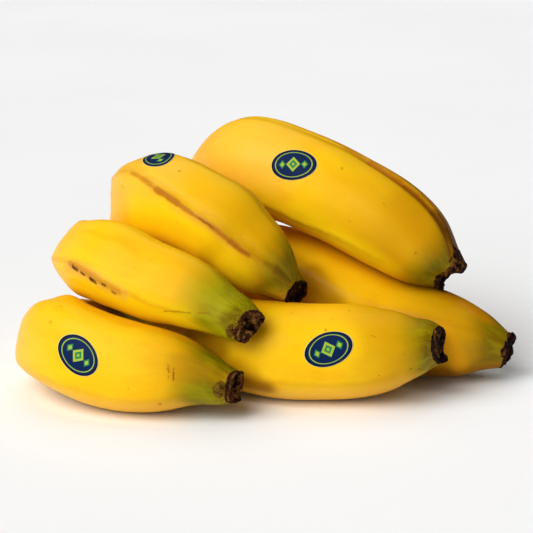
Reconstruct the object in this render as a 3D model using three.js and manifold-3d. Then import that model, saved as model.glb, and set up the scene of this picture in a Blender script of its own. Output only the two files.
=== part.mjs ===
// A bunch of six bananas lying on its side on a flat surface.
//
// Frame: millimetres, +Z up, origin at the middle of the bunch's footprint on the surface it lies on.
// The bananas' blossom ends point towards +X, and the crown that joins their necks is at the back, low on the left.
//
// Each banana is swept along its own spine. Its cross-section is a polygon with soft corners, because a banana's
// peel has five or six long ridges, and the corners' angles turn and soften from the neck to the blossom end.
// The necks seat in sockets of the crown with a small gap all round.

import * as THREE from "three";
import { mergeVertices } from "three/addons/utils/BufferGeometryUtils.js";
import Module from "manifold-3d";

// ---------------------------------------------------------------- driving dimensions, mm and degrees
const STATIONS = 24; // rings along a banana
const SIDES = 19; // about this many sides round it
const SKIN = 1.006; // the faceted rings stand this much proud, so their flats sit on the true skin
const CORNER_POWER = 6; // higher gives tighter corners on the section
const NECK_SEAT = 3.0; // how far a neck runs on into the crown
const NECK_TAPER = 0.7; // and how much it narrows there
const SOCKET_GAP = 0.35; // between a neck and its socket
const TIP_DOME = 2.3; // how far the dried flower scar stands beyond the end of the spine

const STICKER_LONG = 19.6; // fruit label, an oval
const STICKER_SHORT = 13.5;
const STICKER_CLEAR = 0.45; // its underside over the peel
const STICKER_THICK = 0.3;
const STICKER_ROUND = 18; // points round its edge
const STICKER_RINGS = 3;

// spine: x, y, z, radius, from the neck to the blossom end.
// facing: the direction that angle 0 of the section points in at one of the spine's points.
// corners: [share of the length, corner angles], sharp: [share of the length, how far the corners stand out].
// swells: [mm along, angle, how far the skin swells out, its half-length in mm, its half-width in degrees].
const BANANAS = {
  banana_1: {
    spine: [
      [-68.86, 20.96, 12.20, 7.56],
      [-77.08, 9.75, 16.07, 10.19],
      [-83.63, -2.50, 17.49, 13.30],
      [-89.57, -16.59, 18.15, 14.86],
      [-87.93, -30.92, 21.43, 17.41],
      [-79.54, -44.49, 22.93, 18.81],
      [-67.71, -52.45, 20.28, 18.55],
      [-50.82, -58.19, 18.20, 17.30],
      [-33.71, -62.50, 17.55, 13.86],
      [-24.18, -65.49, 16.04, 10.17],
      [-16.88, -67.42, 14.65, 7.83],
      [-11.99, -68.56, 14.25, 6.03],
    ],
    facing: { at: 7, dir: [-0.2181, -0.9141, 0.3417] },
    corners: [
      [0.28, [-115, -46, 33, 98, 168]],
      [0.5, [-112, -46, 45, 105, 170]],
    ],
    sharp: [[0, 0.5], [0.2, 1], [0.32, 1], [0.45, 0.6], [0.75, 0.6], [1, 0.35]],
    swells: [
      [56, 36, -0.8, 7, 16],
      [62, 60, -0.56, 7, 16],
      [66, 82, 1.28, 7, 16],
      [72, 98, -0.98, 7, 16],
      [80, 99, -0.82, 8, 18],
      [90, 97, -0.25, 8, 18],
      [100, 95, 0.14, 8, 18],
    ],
  },
  banana_2: {
    spine: [
      [-56.09, 33.39, 27.67, 7.64],
      [-64.77, 25.64, 33.52, 8.66],
      [-71.50, 9.06, 41.21, 11.50],
      [-75.66, -4.46, 50.64, 13.45],
      [-73.21, -20.17, 53.82, 15.20],
      [-64.81, -30.80, 54.70, 16.66],
      [-51.19, -40.07, 51.02, 16.11],
      [-36.60, -47.14, 47.82, 14.93],
      [-26.99, -52.39, 45.64, 13.09],
      [-18.81, -56.90, 42.30, 10.40],
      [-10.81, -60.89, 39.00, 8.66],
      [-5.17, -63.68, 36.34, 6.29],
    ],
    facing: { at: 6, dir: [-0.3288, -0.8495, 0.4126] },
    corners: [
      [0.28, [-97, -27, 50, 117, 187]],
      [0.5, [-97, -27, 60, 120, 187]],
    ],
    sharp: [[0, 0.5], [0.2, 1.15], [0.32, 1.1], [0.45, 0.7], [0.75, 0.7], [1, 0.35]],
    swells: [
      [66, -85, 0.59, 8, 22],
      [76, -92, -0.2, 8, 22],
      [86, -93, -0.18, 8, 22],
      [96, -93, -0.76, 8, 22],
      [106, -94, -0.17, 8, 22],
      [115, -94, -1.05, 8, 22],
    ],
  },
  banana_3: {
    spine: [
      [-43.55, 46.88, 43.27, 7.73],
      [-48.51, 40.88, 51.75, 8.78],
      [-51.04, 33.68, 60.83, 12.45],
      [-53.51, 25.13, 65.24, 15.65],
      [-53.38, 12.47, 68.99, 17.03],
      [-45.80, -1.37, 74.51, 18.29],
      [-35.09, -12.43, 74.59, 18.30],
      [-23.98, -19.21, 70.93, 17.78],
      [-16.93, -23.00, 67.60, 17.52],
      [-11.26, -25.53, 62.79, 16.05],
      [-5.13, -28.15, 56.89, 15.46],
      [1.69, -30.08, 51.60, 12.44],
      [7.66, -31.28, 47.12, 8.66],
      [11.99, -32.18, 43.77, 5.98],
    ],
    facing: { at: 7, dir: [-0.3245, -0.8617, 0.3902] },
    corners: [
      [0.26, [-58, 31, 88, 147, 212]],
      [0.36, [-60, 31, 84, 143, 210]],
      [0.44, [-66, 19, 76, 138, 208]],
      [0.52, [-72, 7, 68, 132, 200]],
      [0.6, [-77, -3, 65, 129, 196]],
      [0.66, [-78, -5, 64, 128, 194]],
    ],
    sharp: [[0, 0.5], [0.2, 1.15], [0.3, 1.1], [0.45, 0.85], [0.75, 0.85], [1, 0.35]],
  },
  banana_4: {
    spine: [
      [-37.56, 67.83, 51.88, 7.91],
      [-32.12, 61.35, 58.61, 9.21],
      [-26.01, 53.01, 66.13, 13.38],
      [-19.43, 42.34, 74.60, 17.11],
      [-11.14, 32.09, 80.78, 20.52],
      [-3.68, 23.43, 83.25, 22.07],
      [9.10, 14.81, 81.97, 21.23],
      [22.33, 8.21, 77.82, 20.96],
      [35.35, 3.59, 72.17, 20.51],
      [47.10, -0.78, 66.29, 20.25],
      [58.39, -4.76, 59.15, 18.64],
      [66.31, -8.20, 52.91, 15.63],
      [72.71, -10.24, 47.59, 11.24],
      [78.10, -12.01, 43.33, 7.49],
    ],
    facing: { at: 7, dir: [-0.2577, -0.9158, 0.3081] },
    corners: [
      [0, [-120, -58, -2, 55, 117, 178]],
    ],
    sharp: [[0, 0.5], [0.25, 0.75], [0.75, 0.9], [1, 0.35]],
  },
  banana_5: {
    spine: [
      [-31.54, 54.03, 42.88, 7.80],
      [-23.51, 45.33, 41.32, 9.31],
      [-12.37, 29.64, 40.74, 14.70],
      [0.97, 18.83, 39.03, 18.47],
      [17.57, 9.18, 33.92, 20.02],
      [33.91, 1.36, 27.92, 19.12],
      [53.14, -4.16, 20.84, 18.99],
      [70.30, -12.08, 18.32, 18.47],
      [82.50, -15.11, 16.69, 15.91],
      [91.00, -16.00, 15.29, 12.27],
      [97.49, -16.94, 13.72, 8.98],
      [101.52, -17.28, 12.43, 6.95],
    ],
    facing: { at: 7, dir: [-0.3083, -0.8936, 0.3263] },
    corners: [
      [0, [-133, -60, 15, 87, 158]],
    ],
    sharp: [[0, 0.5], [0.25, 0.9], [0.75, 0.75], [1, 0.35]],
  },
  banana_6: {
    spine: [
      [-57.32, 25.63, 14.19, 7.60],
      [-46.51, 12.57, 15.68, 9.45],
      [-34.21, -6.62, 17.47, 15.00],
      [-22.13, -23.84, 18.86, 18.42],
      [-8.72, -35.74, 20.83, 18.91],
      [5.86, -41.05, 20.31, 19.53],
      [19.61, -42.19, 19.93, 19.38],
      [33.23, -43.08, 20.46, 19.08],
      [44.83, -43.90, 21.29, 17.53],
      [53.31, -44.63, 22.40, 15.04],
      [60.49, -45.47, 23.15, 11.91],
      [65.90, -45.38, 23.48, 9.64],
      [70.18, -45.42, 23.34, 6.74],
    ],
    facing: { at: 6, dir: [-0.0507, -0.9506, 0.3063] },
    corners: [
      [0, [-158, -100, -43, 18, 80, 142]],
    ],
    sharp: [[0, 0.5], [0.25, 0.9], [0.75, 0.8], [1, 0.35]],
  },
};

// Labels: the banana, the share of its length, the angle on its section, and the turn of the oval's long side
// from the banana's own length.
const STICKERS = {
  sticker_1: { on: "banana_1", at: 0.5969, angle: -0.7, turn: -20.7 },
  sticker_3: { on: "banana_3", at: 0.4922, angle: 52.7, turn: -30.5 },
  sticker_4: { on: "banana_4", at: 0.5374, angle: 11, turn: 23.3 },
  sticker_6: { on: "banana_6", at: 0.7168, angle: 3, turn: 21 },
};

// The crown: the spine of the pad that the necks grow from, its half-sizes, and the flat face where it was cut
// from the stalk.
const CROWN = {
  spine: [
    [-68.07, 17.84, 5.95, 11, 10.5],
    [-62.07, 28.84, 10.70, 13.2, 11.5],
    [-52.57, 38.84, 23.45, 13.8, 11.5],
    [-44.07, 52.34, 36.45, 13.8, 11.5],
    [-40.07, 65.34, 45.75, 13, 11.5],
    [-39.07, 73.84, 52.95, 11, 10],
  ],
  cutNormal: [-0.156, 0.73, -0.66],
  cutDepth: 9,
  endPower: 2.6,
  sectionPower: 2.6,
  stations: 13,
  sides: 20,
};

// ---------------------------------------------------------------- materials
const peel = new THREE.MeshStandardMaterial({ color: 0xf6c21a, roughness: 0.45, metalness: 0 });
const crownSkin = new THREE.MeshStandardMaterial({ color: 0x8a7a34, roughness: 0.7, metalness: 0 });
const label = new THREE.MeshStandardMaterial({ color: 0x1b2a5a, roughness: 0.35, metalness: 0 });

// ---------------------------------------------------------------- small vector helpers
const V = (a) => new THREE.Vector3(a[0], a[1], a[2]);
const rad = (d) => (d * Math.PI) / 180;
const lerp = (a, b, t) => a + (b - a) * t;

// Value of keyframes [[x, y], ...] at x, straight between them. y may be a number or a list.
function keyed(keys, x) {
  if (x <= keys[0][0]) return keys[0][1];
  for (let i = 1; i < keys.length; i++) {
    if (x > keys[i][0]) continue;
    const [x0, a] = keys[i - 1];
    const [x1, b] = keys[i];
    const t = (x - x0) / (x1 - x0);
    return Array.isArray(a) ? a.map((v, k) => lerp(v, b[k], t)) : lerp(a, b, t);
  }
  return keys[keys.length - 1][1];
}

// Natural cubic spline through rows of numbers, with the chord length between their first three as parameter.
function naturalSpline(rows) {
  const n = rows.length;
  const w = rows[0].length;
  const t = [0];
  for (let i = 1; i < n; i++) t.push(t[i - 1] + V(rows[i]).distanceTo(V(rows[i - 1])));
  const h = t.slice(1).map((v, i) => v - t[i]);
  // tridiagonal system for the second derivatives
  const m = rows.map(() => new Array(w).fill(0));
  const c = new Array(n).fill(0);
  const d = rows.map(() => new Array(w).fill(0));
  for (let i = 1; i < n - 1; i++) {
    const beta = 2 * (h[i - 1] + h[i]) - h[i - 1] * c[i - 1];
    c[i] = h[i] / beta;
    for (let k = 0; k < w; k++) {
      const rhs = 6 * ((rows[i + 1][k] - rows[i][k]) / h[i] - (rows[i][k] - rows[i - 1][k]) / h[i - 1]);
      d[i][k] = (rhs - h[i - 1] * d[i - 1][k]) / beta;
    }
  }
  for (let i = n - 2; i > 0; i--) for (let k = 0; k < w; k++) m[i][k] = d[i][k] - c[i] * m[i + 1][k];
  const at = (x) => {
    let i = 0;
    while (i < n - 2 && x > t[i + 1]) i++;
    const a = t[i + 1] - x;
    const b = x - t[i];
    return rows[i].map(
      (_, k) =>
        (m[i][k] * a ** 3 + m[i + 1][k] * b ** 3) / (6 * h[i]) +
        (rows[i][k] / h[i] - (m[i][k] * h[i]) / 6) * a +
        (rows[i + 1][k] / h[i] - (m[i + 1][k] * h[i]) / 6) * b,
    );
  };
  return { at, knots: t, end: t[n - 1] };
}

// Radius factor at angle th of a polygon with soft corners at the angles A (radians, rising), mean 1.
function softPolygon(th, A) {
  const raw = (x) => {
    let f = 0;
    A.forEach((a, k) => {
      const b = k + 1 < A.length ? A[k + 1] : A[0] + 2 * Math.PI;
      f += (Math.max(0, Math.cos(x - (a + b) / 2)) / Math.cos((b - a) / 2)) ** CORNER_POWER;
    });
    return f ** (-1 / CORNER_POWER);
  };
  let mean = 0;
  for (let i = 0; i < 90; i++) mean += raw((i * 2 * Math.PI) / 90) / 90;
  return raw(th) / mean;
}

// A banana's spine, sampled evenly, with a frame that doesn't twist, and a function for points on its skin.
function makeSpine(def) {
  const N = 400;
  const s = naturalSpline(def.spine);
  const fine = [];
  for (let i = 0; i < 4 * N; i++) fine.push(s.at((s.end * i) / (4 * N - 1)));
  const L = [0];
  for (let i = 1; i < fine.length; i++) L.push(L[i - 1] + V(fine[i]).distanceTo(V(fine[i - 1])));
  const length = L[L.length - 1];
  const c = [];
  const r = [];
  let j = 0;
  for (let i = 0; i < N; i++) {
    const want = (length * i) / (N - 1);
    while (j < L.length - 2 && L[j + 1] < want) j++;
    const t = (want - L[j]) / (L[j + 1] - L[j]);
    const row = fine[j].map((v, k) => lerp(v, fine[j + 1][k], t));
    c.push(V(row));
    r.push(row[3]);
  }
  const T = c.map((_, i) =>
    c[Math.min(i + 1, N - 1)].clone().sub(c[Math.max(i - 1, 0)]).normalize(),
  );
  const refKnot = s.knots[def.facing.at];
  const k0 = Math.round((refKnot / s.end) * (4 * N - 1));
  const i0 = Math.round((L[k0] / length) * (N - 1));
  const Nn = new Array(N);
  const dir = V(def.facing.dir);
  Nn[i0] = dir.clone().addScaledVector(T[i0], -dir.dot(T[i0])).normalize();
  // double reflection, outwards from the reference
  const step = (x0, x1, t0, t1, n0) => {
    const v1 = x1.clone().sub(x0);
    const c1 = v1.dot(v1);
    const nl = n0.clone().addScaledVector(v1, (-2 / c1) * v1.dot(n0));
    const tl = t0.clone().addScaledVector(v1, (-2 / c1) * v1.dot(t0));
    const v2 = t1.clone().sub(tl);
    const c2 = v2.dot(v2);
    return c2 < 1e-18 ? nl : nl.addScaledVector(v2, (-2 / c2) * v2.dot(nl));
  };
  for (let i = i0; i < N - 1; i++) Nn[i + 1] = step(c[i], c[i + 1], T[i], T[i + 1], Nn[i]);
  for (let i = i0; i > 0; i--)
    Nn[i - 1] = step(c[i], c[i - 1], T[i].clone().negate(), T[i - 1].clone().negate(), Nn[i]);
  const B = Nn.map((n, i) => n.clone().cross(T[i]));

  const frameAt = (u) => {
    const x = Math.min(Math.max(u, 0), 1) * (N - 1);
    const i = Math.min(Math.floor(x), N - 2);
    const t = x - i;
    return {
      c: c[i].clone().lerp(c[i + 1], t),
      T: T[i].clone().lerp(T[i + 1], t).normalize(),
      N: Nn[i].clone().lerp(Nn[i + 1], t).normalize(),
      B: B[i].clone().lerp(B[i + 1], t).normalize(),
      r: lerp(r[i], r[i + 1], t),
    };
  };
  const cornersAt = (u) => keyed(def.corners, u).map(rad);
  const radiusAt = (u, th) => {
    let q = frameAt(u).r * (1 + keyed(def.sharp, u) * (softPolygon(th, cornersAt(u)) - 1));
    for (const [s0, angle, out, along, round] of def.swells ?? []) {
      const turn = th - rad(angle);
      const gap = Math.atan2(Math.sin(turn), Math.cos(turn));
      q += out * Math.exp(-(((u * length - s0) / along) ** 2) - (gap / rad(round)) ** 2);
    }
    return q;
  };
  const pointAt = (u, th, out = 0, scale = 1) => {
    const f = frameAt(u);
    const q = radiusAt(u, th) * scale + out;
    return f.c.addScaledVector(f.N, Math.cos(th) * q).addScaledVector(f.B, Math.sin(th) * q);
  };
  return { length, frameAt, cornersAt, radiusAt, pointAt };
}

// A closed solid from rings of points, one end point before the first ring and one after the last.
function loft(rings, first, last) {
  const M = rings[0].length;
  const pts = [...rings.flat(), first, last];
  const idx = [];
  for (let i = 0; i < rings.length - 1; i++)
    for (let j = 0; j < M; j++) {
      const a = i * M + j;
      const b = i * M + ((j + 1) % M);
      idx.push(a, b, b + M, a, b + M, a + M);
    }
  const f = pts.length - 2;
  const e = (rings.length - 1) * M;
  for (let j = 0; j < M; j++) {
    const k = (j + 1) % M;
    idx.push(f, k, j, f + 1, e + j, e + k);
  }
  const g = new THREE.BufferGeometry();
  g.setAttribute("position", new THREE.Float32BufferAttribute(pts.flatMap((p) => [p.x, p.y, p.z]), 3));
  g.setIndex(idx);
  // turn the faces out
  let six = 0;
  for (let i = 0; i < idx.length; i += 3) {
    const [a, b, c] = [pts[idx[i]], pts[idx[i + 1]], pts[idx[i + 2]]];
    six += a.dot(b.clone().cross(c));
  }
  if (six < 0) {
    for (let i = 0; i < idx.length; i += 3) [idx[i + 1], idx[i + 2]] = [idx[i + 2], idx[i + 1]];
    g.setIndex(idx);
  }
  return g;
}

// Angles round the section, with a point on every corner.
function ringAngles(corners) {
  const per = Math.round(SIDES / corners.length);
  const out = [];
  corners.forEach((a, k) => {
    const b = k + 1 < corners.length ? corners[k + 1] : corners[0] + 2 * Math.PI;
    for (let i = 0; i < per; i++) out.push(lerp(a, b, i / per));
  });
  return out;
}

function bananaGeometry(s, grow = 0) {
  const rings = [];
  const flat = (u) => ringAngles(s.cornersAt(u)).map((th) => s.pointAt(u, th, grow, SKIN));
  // the neck's end, inside the crown
  const start = s.frameAt(0);
  rings.push(
    flat(0).map((p) =>
      p.sub(start.c).multiplyScalar(NECK_TAPER).add(start.c).addScaledVector(start.T, -NECK_SEAT - grow),
    ),
  );
  for (let i = 0; i < STATIONS; i++) rings.push(flat(i / (STATIONS - 1)));
  // the flower scar: a low dome
  const end = s.frameAt(1);
  for (const [k, d] of [[0.93, 0.45], [0.62, 0.9]])
    rings.push(
      flat(1).map((p) => p.sub(end.c).multiplyScalar(k).add(end.c).addScaledVector(end.T, d * TIP_DOME)),
    );
  return loft(
    rings,
    start.c.clone().addScaledVector(start.T, -NECK_SEAT - grow),
    end.c.clone().addScaledVector(end.T, TIP_DOME),
  );
}

// A label: an oval laid over the skin, of even thickness.
function stickerGeometry(s, def) {
  const u0 = def.at;
  const th0 = rad(def.angle);
  const turn = rad(def.turn);
  const rHere = s.radiusAt(u0, th0);
  // length of skin for a millimetre of spine: more than one on the outside of the bend
  const h = 0.5 / s.length;
  const stretch = s.pointAt(u0 + h, th0).distanceTo(s.pointAt(u0 - h, th0));
  const spot = (k, a, out) => {
    const x = (k * Math.cos(a) * STICKER_LONG) / 2;
    const y = (k * Math.sin(a) * STICKER_SHORT) / 2;
    const along = x * Math.cos(turn) - y * Math.sin(turn);
    const round = x * Math.sin(turn) + y * Math.cos(turn);
    return s.pointAt(u0 + along / stretch / s.length, th0 + round / rHere, out);
  };
  const top = STICKER_CLEAR + STICKER_THICK;
  const ring = (k, out) =>
    Array.from({ length: STICKER_ROUND }, (_, i) => spot(k, (i * 2 * Math.PI) / STICKER_ROUND, out));
  const rings = [];
  for (let i = 1; i <= STICKER_RINGS; i++) rings.push(ring(i / STICKER_RINGS, STICKER_CLEAR));
  for (let i = STICKER_RINGS; i >= 1; i--) rings.push(ring(i / STICKER_RINGS, top));
  return loft(rings, spot(0, 0, STICKER_CLEAR), spot(0, 0, top));
}

// The crown before its sockets are cut: a thick pad with a round front and a flat cut face behind.
function crownGeometry(def) {
  const s = naturalSpline(def.spine);
  const normal = V(def.cutNormal).normalize();
  const rings = [];
  const ends = [];
  const n = def.stations;
  for (let i = 0; i < n; i++) {
    // stations run closer together at the rounded ends
    const g = -Math.cos((Math.PI * (i + 0.5)) / n);
    const x = (s.end * (g + 1)) / 2;
    const row = s.at(x);
    const a = V(s.at(Math.max(0, x - 0.5)));
    const b = V(s.at(Math.min(s.end, x + 0.5)));
    const axis = b.sub(a).normalize();
    const front = normal.clone().addScaledVector(axis, -normal.dot(axis)).normalize();
    const side = axis.clone().cross(front);
    const round = (1 - Math.abs(g) ** def.endPower) ** (1 / def.endPower);
    const ring = [];
    for (let j = 0; j < def.sides; j++) {
      const t = (j * 2 * Math.PI) / def.sides;
      const e = 2 / def.sectionPower;
      let w = row[3] * round * Math.sign(Math.sin(t)) * Math.abs(Math.sin(t)) ** e;
      let d = row[4] * round * Math.sign(Math.cos(t)) * Math.abs(Math.cos(t)) ** e;
      d = Math.min(d, def.cutDepth);
      ring.push(V(row).addScaledVector(front, d).addScaledVector(side, w));
    }
    rings.push(ring);
    if (i === 0 || i === n - 1) ends.push(V(row).addScaledVector(axis, (i ? 1 : -1) * 0.6));
  }
  return loft(rings, ends[0], ends[1]);
}

// ---------------------------------------------------------------- solids
const wasm = await Module();
wasm.setup();

function solid(geometry) {
  const g = geometry.clone();
  g.deleteAttribute("normal");
  g.deleteAttribute("uv");
  const m = mergeVertices(g, 1e-4);
  return new wasm.Manifold(
    new wasm.Mesh({
      numProp: 3,
      vertProperties: new Float32Array(m.attributes.position.array),
      triVerts: new Uint32Array(m.index.array),
    }),
  );
}

function geometryOf(manifold) {
  const m = manifold.getMesh();
  const pos = new Float32Array(m.numVert * 3);
  for (let i = 0; i < m.numVert; i++)
    pos.set(m.vertProperties.subarray(i * m.numProp, i * m.numProp + 3), i * 3);
  const g = new THREE.BufferGeometry();
  g.setAttribute("position", new THREE.BufferAttribute(pos, 3));
  g.setIndex(new THREE.BufferAttribute(new Uint32Array(m.triVerts), 1));
  return g;
}

// ---------------------------------------------------------------- the bunch
const bunch = new THREE.Group();
bunch.name = "banana_bunch";

function add(name, geometry, material) {
  geometry.computeVertexNormals();
  const mesh = new THREE.Mesh(geometry, material);
  mesh.name = name;
  bunch.add(mesh);
}

const spines = {};
for (const [name, def] of Object.entries(BANANAS)) {
  spines[name] = makeSpine(def);
  add(name, bananaGeometry(spines[name]), peel);
}

let crown = solid(crownGeometry(CROWN));
for (const name of Object.keys(BANANAS))
  crown = crown.subtract(solid(bananaGeometry(spines[name], SOCKET_GAP)));
const parts = crown.decompose().sort((a, b) => b.volume() - a.volume());
add("crown", geometryOf(parts[0]), crownSkin);

for (const [name, def] of Object.entries(STICKERS))
  add(name, stickerGeometry(spines[def.on], def), label);

export default bunch;
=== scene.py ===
import math

import bpy
import numpy as np
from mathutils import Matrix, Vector


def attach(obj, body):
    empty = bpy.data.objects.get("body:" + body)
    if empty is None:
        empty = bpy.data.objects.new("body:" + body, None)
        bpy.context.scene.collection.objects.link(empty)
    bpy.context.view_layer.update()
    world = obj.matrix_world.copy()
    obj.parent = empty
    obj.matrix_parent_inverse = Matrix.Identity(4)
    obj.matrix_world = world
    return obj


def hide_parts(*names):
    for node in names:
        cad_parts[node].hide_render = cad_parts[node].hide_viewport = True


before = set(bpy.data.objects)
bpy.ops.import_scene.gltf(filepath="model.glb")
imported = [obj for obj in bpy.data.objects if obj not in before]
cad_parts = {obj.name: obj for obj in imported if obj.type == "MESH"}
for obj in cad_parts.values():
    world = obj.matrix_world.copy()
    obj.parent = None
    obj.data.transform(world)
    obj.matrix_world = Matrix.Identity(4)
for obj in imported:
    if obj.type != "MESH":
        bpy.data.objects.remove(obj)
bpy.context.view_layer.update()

# Lengths here are millimetres in the part's frame; they become metres when a mesh is made.
rad = np.radians

# Spine rows x, y, z, radius from the neck to the blossom end, and the corners of the section along it.
BANANAS = {
    "banana_1": dict(
        spine=[
            [-68.86, 20.96, 12.20, 7.56], [-77.08, 9.75, 16.07, 10.19], [-83.63, -2.50, 17.49, 13.30],
            [-89.57, -16.59, 18.15, 14.86], [-87.93, -30.92, 21.43, 17.41], [-79.54, -44.49, 22.93, 18.81],
            [-67.71, -52.45, 20.28, 18.55], [-50.82, -58.19, 18.20, 17.30], [-33.71, -62.50, 17.55, 13.86],
            [-24.18, -65.49, 16.04, 10.17], [-16.88, -67.42, 14.65, 7.83], [-11.99, -68.56, 14.25, 6.03]],
        facing=(7, [-0.2181, -0.9141, 0.3417]),
        corners=[[0.28, [-115, -46, 33, 98, 168]], [0.5, [-112, -46, 45, 105, 170]]],
        sharp=[[0, 0.5], [0.2, 1], [0.32, 1], [0.45, 0.6], [0.75, 0.6], [1, 0.35]],
        swells=[[56, 36, -0.8, 7, 16], [62, 60, -0.56, 7, 16], [66, 82, 1.28, 7, 16], [72, 98, -0.98, 7, 16], [80, 99, -0.82, 8, 18], [90, 97, -0.25, 8, 18], [100, 95, 0.14, 8, 18]]),
    "banana_2": dict(
        spine=[
            [-56.09, 33.39, 27.67, 7.64], [-64.77, 25.64, 33.52, 8.66], [-71.50, 9.06, 41.21, 11.50],
            [-75.66, -4.46, 50.64, 13.45], [-73.21, -20.17, 53.82, 15.20], [-64.81, -30.80, 54.70, 16.66],
            [-51.19, -40.07, 51.02, 16.11], [-36.60, -47.14, 47.82, 14.93], [-26.99, -52.39, 45.64, 13.09],
            [-18.81, -56.90, 42.30, 10.40], [-10.81, -60.89, 39.00, 8.66], [-5.17, -63.68, 36.34, 6.29]],
        facing=(6, [-0.3288, -0.8495, 0.4126]),
        corners=[[0.28, [-97, -27, 50, 117, 187]], [0.5, [-97, -27, 60, 120, 187]]],
        sharp=[[0, 0.5], [0.2, 1.15], [0.32, 1.1], [0.45, 0.7], [0.75, 0.7], [1, 0.35]],
        swells=[[66, -85, 0.59, 8, 22], [76, -92, -0.2, 8, 22], [86, -93, -0.18, 8, 22], [96, -93, -0.76, 8, 22], [106, -94, -0.17, 8, 22], [115, -94, -1.05, 8, 22]]),
    "banana_3": dict(
        spine=[
            [-43.55, 46.88, 43.27, 7.73], [-48.51, 40.88, 51.75, 8.78], [-51.04, 33.68, 60.83, 12.45],
            [-53.51, 25.13, 65.24, 15.65], [-53.38, 12.47, 68.99, 17.03], [-45.80, -1.37, 74.51, 18.29],
            [-35.09, -12.43, 74.59, 18.30], [-23.98, -19.21, 70.93, 17.78], [-16.93, -23.00, 67.60, 17.52],
            [-11.26, -25.53, 62.79, 16.05], [-5.13, -28.15, 56.89, 15.46], [1.69, -30.08, 51.60, 12.44],
            [7.66, -31.28, 47.12, 8.66], [11.99, -32.18, 43.77, 5.98]],
        facing=(7, [-0.3245, -0.8617, 0.3902]),
        corners=[
            [0.26, [-58, 31, 88, 147, 212]], [0.36, [-60, 31, 84, 143, 210]], [0.44, [-66, 19, 76, 138, 208]],
            [0.52, [-72, 7, 68, 132, 200]], [0.6, [-77, -3, 65, 129, 196]], [0.66, [-78, -5, 64, 128, 194]]],
        sharp=[[0, 0.5], [0.2, 1.15], [0.3, 1.1], [0.45, 0.85], [0.75, 0.85], [1, 0.35]]),
    "banana_4": dict(
        spine=[
            [-37.56, 67.83, 51.88, 7.91], [-32.12, 61.35, 58.61, 9.21], [-26.01, 53.01, 66.13, 13.38],
            [-19.43, 42.34, 74.60, 17.11], [-11.14, 32.09, 80.78, 20.52], [-3.68, 23.43, 83.25, 22.07],
            [9.10, 14.81, 81.97, 21.23], [22.33, 8.21, 77.82, 20.96], [35.35, 3.59, 72.17, 20.51],
            [47.10, -0.78, 66.29, 20.25], [58.39, -4.76, 59.15, 18.64], [66.31, -8.20, 52.91, 15.63],
            [72.71, -10.24, 47.59, 11.24], [78.10, -12.01, 43.33, 7.49]],
        facing=(7, [-0.2577, -0.9158, 0.3081]),
        corners=[[0, [-120, -58, -2, 55, 117, 178]]],
        sharp=[[0, 0.5], [0.25, 0.75], [0.75, 0.9], [1, 0.35]]),
    "banana_5": dict(
        spine=[
            [-31.54, 54.03, 42.88, 7.80], [-23.51, 45.33, 41.32, 9.31], [-12.37, 29.64, 40.74, 14.70],
            [0.97, 18.83, 39.03, 18.47], [17.57, 9.18, 33.92, 20.02], [33.91, 1.36, 27.92, 19.12],
            [53.14, -4.16, 20.84, 18.99], [70.30, -12.08, 18.32, 18.47], [82.50, -15.11, 16.69, 15.91],
            [91.00, -16.00, 15.29, 12.27], [97.49, -16.94, 13.72, 8.98], [101.52, -17.28, 12.43, 6.95]],
        facing=(7, [-0.3083, -0.8936, 0.3263]),
        corners=[[0, [-133, -60, 15, 87, 158]]],
        sharp=[[0, 0.5], [0.25, 0.9], [0.75, 0.75], [1, 0.35]]),
    "banana_6": dict(
        spine=[
            [-57.32, 25.63, 14.19, 7.60], [-46.51, 12.57, 15.68, 9.45], [-34.21, -6.62, 17.47, 15.00],
            [-22.13, -23.84, 18.86, 18.42], [-8.72, -35.74, 20.83, 18.91], [5.86, -41.05, 20.31, 19.53],
            [19.61, -42.19, 19.93, 19.38], [33.23, -43.08, 20.46, 19.08], [44.83, -43.90, 21.29, 17.53],
            [53.31, -44.63, 22.40, 15.04], [60.49, -45.47, 23.15, 11.91], [65.90, -45.38, 23.48, 9.64],
            [70.18, -45.42, 23.34, 6.74]],
        facing=(6, [-0.0507, -0.9506, 0.3063]),
        corners=[[0, [-158, -100, -43, 18, 80, 142]]],
        sharp=[[0, 0.5], [0.25, 0.9], [0.75, 0.8], [1, 0.35]]),
}

CROWN = dict(
    spine=[
        [-68.07, 17.84, 5.95, 11, 10.5], [-62.07, 28.84, 10.70, 13.2, 11.5], [-52.57, 38.84, 23.45, 13.8, 11.5],
        [-44.07, 52.34, 36.45, 13.8, 11.5], [-40.07, 65.34, 45.75, 13, 11.5], [-39.07, 73.84, 52.95, 11, 10]],
    cut_normal=[-0.156, 0.73, -0.66], cut_depth=9.0, power=2.6)

STICKERS = {
    "sticker_1": dict(on="banana_1", at=0.5969, angle=-0.7, turn=-20.7),
    "sticker_3": dict(on="banana_3", at=0.4922, angle=52.7, turn=-30.5),
    "sticker_4": dict(on="banana_4", at=0.5374, angle=11, turn=23.3),
    "sticker_6": dict(on="banana_6", at=0.7168, angle=3, turn=21),
}
STICKER_LONG, STICKER_SHORT = 19.9, 13.8

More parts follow.
